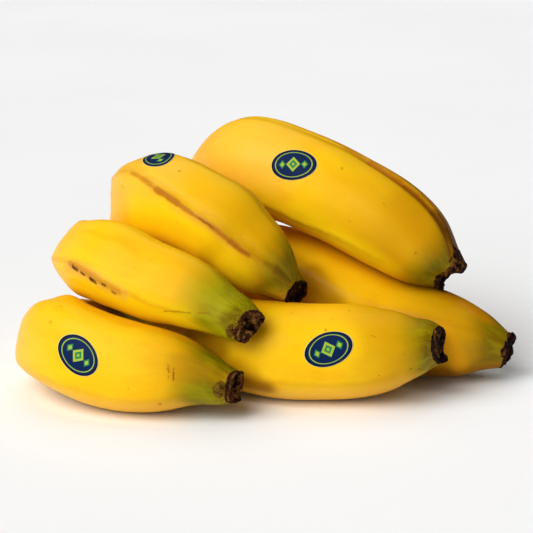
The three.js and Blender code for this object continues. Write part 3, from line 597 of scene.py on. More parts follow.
def make_scar(name, info, seed, h=0.24):
    tip, A, V, W, mid = TIPS[name], info["A"], info["V"], info["W"], info["mid"]
    table = end_table(info["skin"], mid, A, V, W)
    deep = max(r[1] for r in tip["reach"]) * 1.25 + 2.6
    lo, hi = np.array([-10.5, -10.5, -deep]), np.array([10.5, 10.5, 3.9])
    n = np.ceil((hi - lo) / h).astype(int)
    G = np.stack(np.meshgrid(*[lo[k] + h * np.arange(n[k]) for k in range(3)], indexing="ij"), -1).reshape(-1, 3)
    F = scar_field(G, tip, table, seed)[0]
    X, Q = surface_nets(F.reshape(n), lo, h)
    X, Q = largest_piece(X, Q)
    X = smooth_mesh(X, Q, 1, 0.5)
    tone = scar_field(X, tip, table, seed)[1]
    body = scar_body(X, tip, table, seed)
    P = mid + X[:, :1] * V + X[:, 1:2] * W + X[:, 2:] * A
    P[:, 2] = np.maximum(P[:, 2], 0.02)
    return P, Q, dict(tone=tone, lift=-body)


def make_banana(name, seed):
    """The detailed skin as one closed grid. Returns its rows of points and what the material reads at each."""
    b = Banana(BANANAS[name])
    tip = TIPS[name]
    L = b.L
    s = np.r_[np.linspace(0, L - 9, 232), np.linspace(L - 9, L, 31)[1:]]
    th = column_angles(name)
    P = b.surface(s, th)
    n = grid_normals(P)
    S = np.repeat(s[:, None], len(th), 1)
    TH = np.repeat(th[None], len(s), 0)
    r = np.interp(s, b.s, b.r)[:, None]
    R0 = 18.0
    straight = np.stack([S, R0 * np.cos(TH), R0 * np.sin(TH)], -1)

    # swells and dents of the peel
    d = 0.20 * fbm(straight / [34, 13, 13], 2, seed) + 0.05 * fbm(straight / [7, 4.5, 4.5], 2, seed + 40)
    d = d * smoothstep(0, 12, S) * smoothstep(0, 10, L - S)
    ridge = np.zeros_like(S)
    for k, line in enumerate(LINES[name]):
        rows = np.array(line["rows"], float)
        inside = smoothstep(rows[0, 0] - 6, rows[0, 0] + 1, S) * smoothstep(0, 6, rows[-1, 0] + 5 - S)
        a = np.interp(S, rows[:, 0], rad(rows[:, 1])) + 0.012 * noise3(straight * [.14, 0, 0] + k * 3.1, seed)
        off = angle_gap(TH, a) * r
        w = line["width"] * (1 + 0.2 * noise3(straight * [.2, 0, 0] + k, seed + 3))
        shape = np.exp(-(off / w) ** 2)
        d = d + inside * np.interp(S, rows[:, 0], rows[:, 3]) * shape * (0.85 + 0.25 * noise3(straight * [.35, 0, 0] + k, seed + 9))
        brown = inside * np.interp(S, rows[:, 0], rows[:, 2])
        ridge = np.maximum(ridge, brown * np.exp(-(off / (w * 1.05)) ** 2))
        # the valley: a real dip, with a brown that is partly browning and partly painted shade
        if "valley" in line:
            at, depth, wide, stain_and_shade = line["valley"]
            d = d - inside * depth * np.interp(S, rows[:, 0], rows[:, 3] / rows[:, 3].max()) * np.exp(-((off - at) / wide) ** 2)
            ridge = np.maximum(ridge, stain_and_shade * brown * np.exp(-((off - at) / wide) ** 2))
    bump = np.zeros_like(S)
    for bs, bth, size, high in tip["bumps"]:
        near = np.hypot(S - bs, angle_gap(TH, rad(bth)) * r)
        near = near + 0.30 * size * noise3(straight * [1, .5, .5] / 3.0, seed + 20)
        d = d + high * (1 - smoothstep(size * .45, size * 1.05, near)) * (0.8 + 0.5 * noise3(straight * [1, .5, .5] / 1.9, seed + 21))
        bump = np.maximum(bump, 1 - smoothstep(size * .70, size * 1.22, near))
    # the skin wrinkles a little where it narrows to the blossom end
    ring = smoothstep(9, 1.5, L - S)
    d = d + ring * (0.12 * noise3(straight * [.9, .35, .35], seed + 60) + 0.10 * noise3(straight * [.25, .55, .55], seed + 61))
    P = P + n * d[..., None]

    # the last mm turn towards -Y
    c, T, _, _, _ = b.frames(s)
    t1 = T[-1]
    to = unit(TO_CAMERA - t1 * (TO_CAMERA @ t1))
    axis = unit(np.cross(t1, to))
    over = np.clip((s - (L - BEND_LENGTH)) / BEND_LENGTH, 0, 1)
    phi = rad(tip["bend"]) * over
    shift = to[None] * (rad(tip["bend"]) * over ** 2 * BEND_LENGTH / 2)[:, None]
    P = c[:, None] + shift[:, None] + rotate(P - c[:, None], axis, np.repeat(phi[:, None], P.shape[1], 1))
    c = c + shift
    t_end = rotate(t1[None], axis, phi[-1:])[0]
    A = rotate(t1[None], axis, phi[-1:] + rad(tip["slant"]))[0]
    A = rotate(A[None], unit(np.cross(A, UP_SEEN)), np.array([rad(tip["lift"])]))[0]
    mid = c[-1] + t_end * tip["out"]
    v = P[-1] - c[-1]
    V, W = plane_axes(A)
    phi = np.arctan2(v @ W, v @ V)
    R = outline_radius(tip["rim"], phi)
    rv, rw = R * np.cos(phi), R * np.sin(phi)
    rim = mid + rv[:, None] * V + rw[:, None] * W + sag(tip, rv, rw)[:, None] * A
    w = smoothstep(L - MORPH_LENGTH, L, s) ** 1.3
    P = P + w[:, None, None] * (rim - P[-1])[None]
    # the peel's end under the crust, dished
    q = np.linspace(1, 0, 11)[1:-1]
    low = mid + (sag(tip, np.zeros(1), np.zeros(1))[0] - 1.3) * A
    F = low + q[:, None, None] * (P[-1] - low)[None]
    F = F - A * (1.3 * smoothstep(1, .5, q) * smoothstep(0, .5, q))[:, None, None]
    qq = np.repeat(q[:, None], len(th), 1)
    allP = np.concatenate([P, F])
    along = np.concatenate([L - S, -(1 - qq) * b.r[-1]])
    st = np.concatenate([straight, np.stack([L + (1 - qq) * b.r[-1], R0 * np.cos(TH[:1]) * qq, R0 * np.sin(TH[:1]) * qq], -1)])

    # the neck's end, hidden in the crown
    start, t0 = b.c[0], b.T[0]
    back = [start + (P[0] - start) * k - t0 * z for z, k in ((3.0, .6), (1.5, .85))]
    allP = np.concatenate([np.array(back), allP])
    pad = lambda a: np.concatenate([np.repeat(a[:1], 2, 0), a])
    info = dict(
        tip_mm=pad(along), ridge=pad(np.concatenate([ridge, np.zeros_like(qq)])),
        bump=pad(np.concatenate([bump, np.zeros_like(qq)])), neck_mm=pad(np.concatenate([S, L + 0 * qq])),
        straight=pad(st), s=s, th=th, skin=P, A=A, V=V, W=W, mid=mid)
    allP[..., 2] = np.maximum(allP[..., 2], 0.02)
    info["gap"] = clearance(allP, name)
    return b, allP, info


# which bananas darken each banana's peel with painted shade where they come near
NEIGHBOURS = {1: (2, 6), 2: (1, 3, 6), 3: (5, 6), 4: (5,), 5: (3, 6), 6: (1, 2, 3)}


def clearance(P, name):
    """Gap in mm from each point to the nearest of the bananas that shelter it."""
    q = P.reshape(-1, 3)
    best = np.full(len(q), 60.0)
    for other in NEIGHBOURS[int(name[-1])]:
        b = Banana(BANANAS["banana_%d" % other])
        s = np.linspace(0, b.L, 120)
        c, r = b.frames(s)[0], np.interp(s, b.s, b.r)
        for c0, r0 in zip(c, r):
            best = np.minimum(best, np.sqrt(((q - c0) ** 2).sum(1)) - r0)
    return best.reshape(P.shape[:-1])


# ---------------------------------------------------------------- the crown, as a blend of its pad and the six necks
def pad_rows():
    at, knots = natural_spline(CROWN["spine"])
    x = np.linspace(0, knots[-1], 70)
    row = at(x)
    axis = unit(np.gradient(row[:, :3], axis=0))
    normal = unit(np.array(CROWN["cut_normal"], float))
    front = unit(normal - axis * (axis @ normal)[:, None])
    return x, row, axis, front, np.cross(axis, front)


def pad_field(p):
    """How far points p are outside the pad, about in mm, and outside its cut face."""
    x, row, axis, front, side = pad_rows()
    d2 = ((p[:, None, :] - row[None, :, :3]) ** 2).sum(-1)
    i = d2.argmin(1)
    v = p - row[i, :3]
    along = (v * axis[i]).sum(1)
    f, s = (v * front[i]).sum(1), (v * side[i]).sum(1)
    g = 2 * (x[i] + along) / x[-1] - 1
    hw, ht = row[i, 3], row[i, 4]
    pw = CROWN["power"]
    # the end of the pad is round
    half = x[-1] / 2
    q = (np.abs(s / hw) ** pw + np.abs(f / ht) ** pw + np.abs(g) ** (pw * 1.25)) ** (1 / pw)
    return (q - 1) * np.minimum(hw, ht) * np.clip(1.0 / np.maximum(q, .35), .6, 1.3), f - CROWN["cut_depth"]


def soft_min(a, b, k):
    h = np.clip(0.5 + 0.5 * (b - a) / k, 0, 1)
    return b * (1 - h) + a * h - k * h * (1 - h)


def soft_max(a, b, k):
    return -soft_min(-a, -b, k)


def neck_field(b, p, reach=21.0):
    """Height of points p over a banana's neck, and how far along it they are. Far points get a large height."""
    out, where, turn = np.full(len(p), 60.0), np.full(len(p), 99.0), np.zeros(len(p))
    s = np.arange(-7, reach + 1, 0.5)
    c, T, N, B, r = b.frames(s)
    near = np.where(((p - c[len(c) // 2]) ** 2).sum(1) < 32.0 ** 2)[0]
    if not len(near):
        return out, where, turn
    q = p[near]
    i = np.concatenate([((part[:, None, :] - c[None]) ** 2).sum(-1).argmin(1) for part in np.array_split(q, max(1, len(q) // 20000))])
    v = q - c[i]
    along = (v * T[i]).sum(1)
    n, bb = (v * N[i]).sum(1), (v * B[i]).sum(1)
    th = np.arctan2(bb, n)
    si = np.clip(s[i] + along, -20, reach + 6)
    rr = b.radius(si, th[:, None])[:, 0]
    rr = rr * np.interp(si, [-6, 0, 40], [0.72, 1, 1])
    out[near] = np.hypot(n, bb) - rr
    where[near] = si
    turn[near] = th
    return out, where, turn


def crown_field(p, bananas):
    pad, cut = pad_field(p)
    f = pad
    best = np.full(len(p), 99.0)
    nearest = np.full(len(p), 99.0)
    for k, b in enumerate(bananas):
        h, s, th = neck_field(b, p)
        lip = 0.9 * noise3(np.stack([np.cos(th) * 1.7, np.sin(th) * 1.7, 0 * th + k * 4.4], -1), 31) + 0.5 * noise3(np.stack([np.cos(th) * 5, np.sin(th) * 5, 0 * th + k], -1), 32)
        rise = np.interp(s + 1.6 * lip, [-8, 2, 7, 12.5, 15], [-.35, -.35, -.18, .5, 3.0])
        collar = np.maximum(h + rise, s - 15.5)
        collar = np.maximum(collar, -6.0 - s)
        f = soft_min(f, collar, 4.6)
        take = h < nearest
        nearest = np.where(take, h, nearest)
        best = np.where(take, s, best)
    f = f + 0.28 * fbm(p / 9.0, 2, 51) + 0.10 * noise3(p / 2.6, 55)
    # the knife's cut: flat, a little hollow where it dried, with torn fibres
    fibre = 0.16 * noise3(p * [.9, .35, .35], 57) + 0.10 * fbm(p / 1.3, 2, 58)
    hollow = 0.55 * smoothstep(0, -7, pad)
    f = soft_max(f, cut + hollow + fibre * smoothstep(0, -1.5, pad), 0.9)
    return f, cut + hollow, best, nearest


def surface_nets(F, lo, h):
    """A closed quad mesh where the sampled field F crosses 0. The box's own walls count as outside."""
    F = np.pad(F, 1, constant_values=h)
    lo = lo - h
    nx, ny, nz = F.shape
    cell = np.zeros((nx - 1, ny - 1, nz - 1, 3))
    count = np.zeros((nx - 1, ny - 1, nz - 1))
    inside = F < 0
    crossings = []
    for ax in range(3):
        a = [slice(None)] * 3
        b = [slice(None)] * 3
        a[ax], b[ax] = slice(None, -1), slice(1, None)
        Fa, Fb = F[tuple(a)], F[tuple(b)]
        hit = inside[tuple(a)] != inside[tuple(b)]
        crossings.append((hit, inside[tuple(a)]))
        t = np.where(hit, Fa / np.where(hit, Fa - Fb, 1), 0)
        idx = np.stack(np.meshgrid(*[np.arange(n) for n in Fa.shape], indexing="ij"), -1).astype(float)
        idx[..., ax] += t
        o = [k for k in range(3) if k != ax]
        for d0 in (0, 1):
            for d1 in (0, 1):
                src = [slice(None)] * 3
                src[o[0]] = slice(1, None) if d0 else slice(None, -1)
                src[o[1]] = slice(1, None) if d1 else slice(None, -1)
                m = hit[tuple(src)]
                cell += np.where(m[..., None], idx[tuple(src)], 0)
                count += m
    ids = -np.ones(count.shape, int)
    on = count > 0
    ids[on] = np.arange(on.sum())
    V = cell[on] / count[on][:, None] * h + lo
    faces = []
    for ax in range(3):
        hit, ins = crossings[ax]
        o = [(ax + 1) % 3, (ax + 2) % 3]
        sl = [slice(None)] * 3
        sl[o[0]], sl[o[1]] = slice(1, -1), slice(1, -1)
        where = np.argwhere(hit[tuple(sl)])
        where[:, o[0]] += 1
        where[:, o[1]] += 1
        flip = ins[tuple(where.T)]
        quad = []
        for d0, d1 in ((-1, -1), (0, -1), (0, 0), (-1, 0)):
            w = where.copy()
            w[:, o[0]] += d0
            w[:, o[1]] += d1
            quad.append(ids[tuple(w.T)])
        quad = np.stack(quad, 1)
        quad = np.where(flip[:, None], quad, quad[:, ::-1])
        faces.append(quad)
    return V, np.concatenate(faces)


def largest_piece(V, Q):
    lab = np.arange(len(V))
    e = np.concatenate([Q[:, [0, 1]], Q[:, [1, 2]], Q[:, [2, 3]]])
    while True:
        m = np.minimum(lab[e[:, 0]], lab[e[:, 1]])
        new = lab.copy()
        np.minimum.at(new, e[:, 0], m)
        np.minimum.at(new, e[:, 1], m)
        new = new[new]
        if (new == lab).all():
            break
        lab = new
    names, sizes = np.unique(lab, return_counts=True)
    keep = lab == names[sizes.argmax()]
    ids = np.cumsum(keep) - 1
    return V[keep], ids[Q[keep[Q[:, 0]]]]


def smooth_mesh(V, Q, rounds, amount):
    e = np.concatenate([Q[:, [0, 1]], Q[:, [1, 2]], Q[:, [2, 3]], Q[:, [3, 0]]])
    e = np.concatenate([e, e[:, ::-1]])
    n = np.bincount(e[:, 0], minlength=len(V))[:, None]
    for _ in range(rounds):
        total = np.stack([np.bincount(e[:, 0], V[e[:, 1], k], len(V)) for k in range(3)], 1)
        V = V + amount * (total / n - V)
    return V


def make_crown(bananas, h=0.75):
    lo, hi = np.array([-84.0, 6.0, -1.5]), np.array([-24.0, 86.0, 66.0])
    n = np.ceil((hi - lo) / h).astype(int)
    ax = [lo[k] + h * np.arange(n[k]) for k in range(3)]
    G = np.stack(np.meshgrid(*ax, indexing="ij"), -1).reshape(-1, 3)
    F = np.full(len(G), 20.0)
    _, row, _, _, _ = pad_rows()
    coarse = np.full(len(G), 1e9)
    for c in row[::5, :3]:
        coarse = np.minimum(coarse, ((G - c) ** 2).sum(1))
    near = np.where(coarse < 34.0 ** 2)[0]
    F[near] = np.concatenate([crown_field(part, bananas)[0] for part in np.array_split(G[near], max(1, len(near) // 60000))])
    V, Q = surface_nets(F.reshape(n), lo, h)
    V, Q = largest_piece(V, Q)
    V = smooth_mesh(V, Q, 2, 0.5)
    f, cut, s, near_h = crown_field(V, bananas)
    V[:, 2] = np.maximum(V[:, 2], 0.02)
    return V, Q, dict(cut_mm=cut, neck_mm=s)


# ---------------------------------------------------------------- labels
def make_sticker(spec, b, info, rings=26, around=120, under=0.035, top=0.15):
    """An oval laid on the detailed skin. Returns points, quads and the oval's own flat coordinates in mm."""
    s, th, skin = info["s"], info["th"], info["skin"]
    normals = grid_normals(skin)
    u0, a0, turn = spec["at"] * b.L, rad(spec["angle"]), rad(spec["turn"])
    p1 = b.surface([u0 - .5, u0 + .5], [a0])
    stretch = np.linalg.norm(p1[1, 0] - p1[0, 0])
    r_here = b.radius(np.array([u0]), np.array([[a0]]))[0, 0]
    thx = np.r_[th, th[0] + 2 * np.pi]
    sk = np.concatenate([skin, skin[:, :1]], 1)
    nk = np.concatenate([normals, normals[:, :1]], 1)

    def on_skin(x, y, height):
        along = (x * math.cos(turn) - y * math.sin(turn)) / stretch
        ang = (a0 + (x * math.sin(turn) + y * math.cos(turn)) / r_here + np.pi) % (2 * np.pi) - np.pi
        i = np.clip(np.searchsorted(s, u0 + along, side="right") - 1, 0, len(s) - 2)
        fi = ((u0 + along - s[i]) / (s[i + 1] - s[i]))[:, None]
        j = np.clip(np.searchsorted(thx, ang, side="right") - 1, 0, len(thx) - 2)
        fj = ((ang - thx[j]) / (thx[j + 1] - thx[j]))[:, None]
        mix = lambda G: (G[i, j] * (1 - fi) + G[i + 1, j] * fi) * (1 - fj) + (G[i, j + 1] * (1 - fi) + G[i + 1, j + 1] * fi) * fj
        return mix(sk) + unit(mix(nk)) * height[:, None]

    a = np.arange(around) * 2 * np.pi / around
    prof = [(k / rings, top) for k in range(1, rings)] + [(1 - .06 / 9, top - .01), (1.0, top - .04), (1 + .02 / 9, (top + under) / 2),
            (1.0, under + .02), (1 - .08 / 9, under)] + [(k / 8, under) for k in range(7, 0, -1)]
    pts, flat = [], []
    for k, h in prof:
        x, y = k * np.cos(a) * STICKER_LONG / 2, k * np.sin(a) * STICKER_SHORT / 2
        # the paper follows the peel unevenly: it lifts a little here and there along its edge
        lift = 0.05 * np.clip(noise3(np.stack([x / 5, y / 5, 0 * x], -1), int(u0)), 0, 1) * k ** 3
        pts.append(on_skin(x, y, h + lift))
        flat.append(np.stack([x, y], 1))
    one = np.zeros(1)
    pts = np.concatenate([*pts, on_skin(one, one, one + top), on_skin(one, one, one + under)])
    flat = np.concatenate([*flat, np.zeros((2, 2))])
    i, j = np.arange(len(prof) - 1)[:, None] * around, np.arange(around)[None]
    jn = (j + 1) % around
    Q = np.stack([i + j, i + jn, i + around + jn, i + around + j], -1).reshape(-1, 4)
    top_c, bot_c, last = len(pts) - 2, len(pts) - 1, (len(prof) - 1) * around
    T = [[top_c, (k + 1) % around, k] for k in range(around)] + [[bot_c, last + k, last + (k + 1) % around] for k in range(around)]
    return pts, Q, np.array(T), flat


# ---------------------------------------------------------------- meshes in Blender
def outward(V, Q):
    a, b, c = V[Q[:, 0]], V[Q[:, 1]], V[Q[:, 2]]
    vol = np.einsum("ij,ij->i", a, np.cross(b, c)).sum()
    if Q.shape[1] == 4:
        vol += np.einsum("ij,ij->i", a, np.cross(c, V[Q[:, 3]])).sum()
    return vol


def mesh_object(name, V, quads, tris=None, points=None, uvs=None):
    """V in mm. points: {name: (n,) or (n, 3)} attributes. uvs: {name: (loops, 2)}."""
    loops = np.concatenate([quads.ravel(), tris.ravel()]) if tris is not None else quads.ravel()
    starts = np.arange(len(quads)) * 4
    if tris is not None:
        starts = np.concatenate([starts, len(quads) * 4 + np.arange(len(tris)) * 3])
    me = bpy.data.meshes.new(name)
    me.vertices.add(len(V))
    me.vertices.foreach_set("co", (V * 0.001).astype(np.float32).ravel())
    me.loops.add(len(loops))
    me.loops.foreach_set("vertex_index", loops.astype(np.int32))
    me.polygons.add(len(starts))
    me.polygons.foreach_set("loop_start", starts.astype(np.int32))
    me.update(calc_edges=True)
    for key, a in (points or {}).items():
        at = me.attributes.new(key, "FLOAT" if a.ndim == 1 else "FLOAT_VECTOR", "POINT")
        at.data.foreach_set("value" if a.ndim == 1 else "vector", a.astype(np.float32).ravel())
    for key, a in (uvs or {}).items():
        layer = me.uv_layers.new(name=key)
        layer.data.foreach_set("uv", a.astype(np.float32).ravel())
    me.polygons.foreach_set("use_smooth", np.ones(len(starts), bool))
    if me.validate(verbose=False):
        print("mesh", name, "needed repair")
    me.update()
    ob = bpy.data.objects.new(name, me)
    bpy.context.scene.collection.objects.link(ob)
    return ob


R_MAP = 18.0  # mm of map height for a radian round a banana


def banana_object(name, P, info):
    n, m, _ = P.shape
    V = P.reshape(-1, 3)
    V = np.concatenate([V, P[0].mean(0)[None], P[-1].mean(0)[None]])
    i, j = np.arange(n - 1)[:, None], np.arange(m)[None]
    jn = (j + 1) % m
    Q = np.stack([i * m + j, i * m + jn, (i + 1) * m + jn, (i + 1) * m + j], -1).reshape(-1, 4)
    k = np.arange(m)
    T = np.concatenate([np.stack([np.full(m, n * m), (k + 1) % m, k], 1), np.stack([np.full(m, n * m + 1), (n - 1) * m + k, (n - 1) * m + (k + 1) % m], 1)])
    pts = {}
    for key in ("tip_mm", "ridge", "bump", "neck_mm", "gap"):
        a = info[key].reshape(-1)
        pts[key] = np.r_[a, info[key][0].mean(), info[key][-1].mean()]
    st = info["straight"].reshape(-1, 3)
    pts["straight"] = np.concatenate([st, info["straight"][0].mean(0)[None], info["straight"][-1].mean(0)[None]])
    # the map: mm along, and angle times R_MAP, without a jump at the back
    th = np.r_[info["th"], info["th"][0] + 2 * np.pi] * R_MAP
    su = info["straight"][:, 0, 0]
    jj = np.broadcast_to(j, (n - 1, m))
    ii = np.broadcast_to(i, (n - 1, m))
    uq = np.stack([np.stack([su[ii], th[jj]], -1), np.stack([su[ii], th[jj + 1]], -1), np.stack([su[ii + 1], th[jj + 1]], -1), np.stack([su[ii + 1], th[jj]], -1)], 2).reshape(-1, 2)
    ut = np.concatenate([
        np.stack([np.stack([0 * k + su[0] - 1, (th[k] + th[k + 1]) / 2], -1), np.stack([0 * k + su[0], th[k + 1]], -1), np.stack([0 * k + su[0], th[k]], -1)], 1).reshape(-1, 2),
        np.stack([np.stack([0 * k + su[-1] + 1, (th[k] + th[k + 1]) / 2], -1), np.stack([0 * k + su[-1], th[k]], -1), np.stack([0 * k + su[-1], th[k + 1]], -1)], 1).reshape(-1, 2)])
    if outward(V, Q) < 0:
        Q, T = Q[:, ::-1], T[:, ::-1]
        uq = uq.reshape(-1, 4, 2)[:, ::-1].reshape(-1, 2)
        ut = ut.reshape(-1, 3, 2)[:, ::-1].reshape(-1, 2)
    return mesh_object(name + "_peel", V, Q, T, pts, {"skin": np.concatenate([uq, ut])})


# ---------------------------------------------------------------- material nodes
class Nodes:
    """Short ways to add shader nodes. A value may be a socket or a number."""

    def __init__(self, name):
        self.mat = bpy.data.materials.new(name)
        self.mat.use_nodes = True
        self.tree = self.mat.node_tree
        self.tree.nodes.clear()
        self.out = self.tree.nodes.new("ShaderNodeOutputMaterial")
        self.cache = {}

    def new(self, kind, **props):
        n = self.tree.nodes.new(kind)
        for k, v in props.items():
            setattr(n, k, v)
        return n

    def put(self, socket, value):
        if isinstance(value, bpy.types.NodeSocket):
            self.tree.links.new(value, socket)
        elif value is not None:
            socket.default_value = value

    def attr(self, name, vector=False):
        key = ("attr", name, vector)
        if key not in self.cache:
            n = self.new("ShaderNodeAttribute", attribute_name=name)
            self.cache[key] = n.outputs["Vector" if vector else "Fac"]
        return self.cache[key]

    def uv(self, name):
        key = ("uv", name)
        if key not in self.cache:
            self.cache[key] = self.new("ShaderNodeUVMap", uv_map=name).outputs[0]
        return self.cache[key]

    def obj(self):
        if "obj" not in self.cache:
            self.cache["obj"] = self.new("ShaderNodeTexCoord").outputs["Object"]
        return self.cache["obj"]

    def math(self, op, a, b=None, c=None, clamp=False):
        n = self.new("ShaderNodeMath", operation=op, use_clamp=clamp)
        for s, v in zip(n.inputs, (a, b, c)):
            self.put(s, v)
        return n.outputs[0]

    def add(self, a, b):
        return self.math("ADD", a, b)

    def sub(self, a, b):
        return self.math("SUBTRACT", a, b)

    def mul(self, a, b):
        return self.math("MULTIPLY", a, b)

    def vec(self, op, a, b=None, scale=None):
        n = self.new("ShaderNodeVectorMath", operation=op)
        self.put(n.inputs[0], a)
        if b is not None:
            self.put(n.inputs[1], b)
        if scale is not None:
            self.put(n.inputs["Scale"], scale)
        return n.outputs["Value" if op in ("DOT_PRODUCT", "LENGTH", "DISTANCE") else "Vector"]

    def noise(self, v, detail=2.0, rough=0.5, distortion=0.0, colour=False, scale=1.0):
        n = self.new("ShaderNodeTexNoise", noise_dimensions="3D")
        self.put(n.inputs["Vector"], v)
        n.inputs["Scale"].default_value = scale
        n.inputs["Detail"].default_value = detail
        n.inputs["Roughness"].default_value = rough
        n.inputs["Distortion"].default_value = distortion
        return n.outputs["Color" if colour else "Fac"]

    def cells(self, v, feature="F1", scale=1.0, out="Distance", random=1.0):
        n = self.new("ShaderNodeTexVoronoi", feature=feature)
        self.put(n.inputs["Vector"], v)
        n.inputs["Scale"].default_value = scale
        n.inputs["Randomness"].default_value = random
        return n.outputs[out]

    def ramp(self, x, a, b, lo=0.0, hi=1.0, smooth=True):
        """lo at x = a to hi at x = b, level outside."""
        n = self.new("ShaderNodeMapRange", interpolation_type="SMOOTHSTEP" if smooth else "LINEAR", clamp=True)
        for s, v in zip(n.inputs, (x, a, b, lo, hi)):
            self.put(s, v)
        return n.outputs[0]

    def mix(self, f, a, b, blend="MIX"):
        n = self.new("ShaderNodeMix", data_type="RGBA", blend_type=blend)
        self.put(n.inputs[0], f)
        self.put(n.inputs[6], a)
        self.put(n.inputs[7], b)
        return n.outputs[2]

    def stretched(self, v, x, y):
        """v in mm made so that a noise of scale 1 is x mm long along the banana and y mm across."""
        return self.vec("MULTIPLY", v, (1 / x, 1 / y, 1 / y))


def colour(r, g, b):
    """sRGB 0 to 255 to linear."""
    f = lambda c: c / 255 / 12.92 if c <= 10.31 else ((c / 255 + 0.055) / 1.055) ** 2.4
    return (f(r), f(g), f(b), 1.0)


# The peel's palette, linear
def rgb(r, g, b):
    return (r, g, b, 1.0)


YELLOW = rgb(.900, .480, .0030)
LEMON = rgb(.925, .540, .0060)
GOLD = rgb(.850, .410, .0015)
AMBER = rgb(.700, .300, .0012)
TAN = rgb(.240, .130, .012)
SCUFF_AND_SHADE = rgb(.400, .170, .0040)
DARK_SCUFF_AND_SHADE = rgb(.170, .055, .0020)
MAUVE = rgb(.660, .300, .060)
RUST = rgb(.400, .120, .0008)
MUD = rgb(.120, .038, .0012)
OLIVE = rgb(.170, .100, .0010)
# SHADED and the next colour are painted shade for the crevices between bananas
SHADED = rgb(.440, .135, .0006)
DEEP_SHADE = rgb(.200, .048, .0005)
SCAR_BLACK = rgb(.0048, .0007, .0006)
SCAR_MAROON = rgb(.046, .0100, .0034)
SCAR_BROWN = rgb(.140, .046, .0085)
SCAR_OLIVE = rgb(.120, .060, .0040)
SCAR_PALE_AND_HIGHLIGHT = rgb(.235, .092, .044)
NECK_GREEN = rgb(.400, .300, .012)
NECK_BROWN = rgb(.240, .140, .022)

# green: mm from the scar where the green has gone and where it is full. dull_and_shade: the same for a darker gold and
# its strength, partly the end's own duller colour and partly painted shade on the ends that turn from the light.
# near: how strongly painted shade darkens and reddens the peel towards its neighbours, by mm along.
PEEL = {
    "banana_1": dict(green=[28, 12], most=.97, leaf=[rgb(.255, .225, .0006), rgb(.165, .135, .0006)], dull_and_shade=[46, 14, .65], halo=.75, crust=0.8,
                     near=[[70, .05], [115, .25], [142, .8]]),
    "banana_2": dict(green=[34, 15], most=1.0, leaf=[rgb(.335, .290, .0006), rgb(.230, .185, .0006)], dull_and_shade=[46, 26, .35], halo=.75, crust=1.0,
                     near=[[120, 0], [150, .35]]),
    "banana_3": dict(green=[22, 9], most=.95, leaf=[rgb(.260, .205, .0006), rgb(.160, .120, .0006)], dull_and_shade=[62, 20, .65], halo=.7, crust=.9,
                     near=[[120, 0], [135, .5]]),
    "banana_4": dict(green=[20, 9], most=.97, leaf=[rgb(.260, .200, .0006), rgb(.160, .120, .0006)], dull_and_shade=[76, 24, .75], halo=.6, crust=3.2,
                     near=[[0, .0], [160, .0]]),
    "banana_5": dict(green=[22, 8], most=.9, leaf=[rgb(.260, .200, .0006), rgb(.160, .105, .0006)], dull_and_shade=[66, 24, .85], halo=.5, crust=1.9,
                     near=[[0, .9], [160, .9]]),
    "banana_6": dict(green=[18, 7], most=.9, leaf=[rgb(.300, .235, .0006), rgb(.190, .130, .0006)], dull_and_shade=[50, 16, .65], halo=.5, crust=.8,
                     near=[[0, .38], [160, .38]]),
}
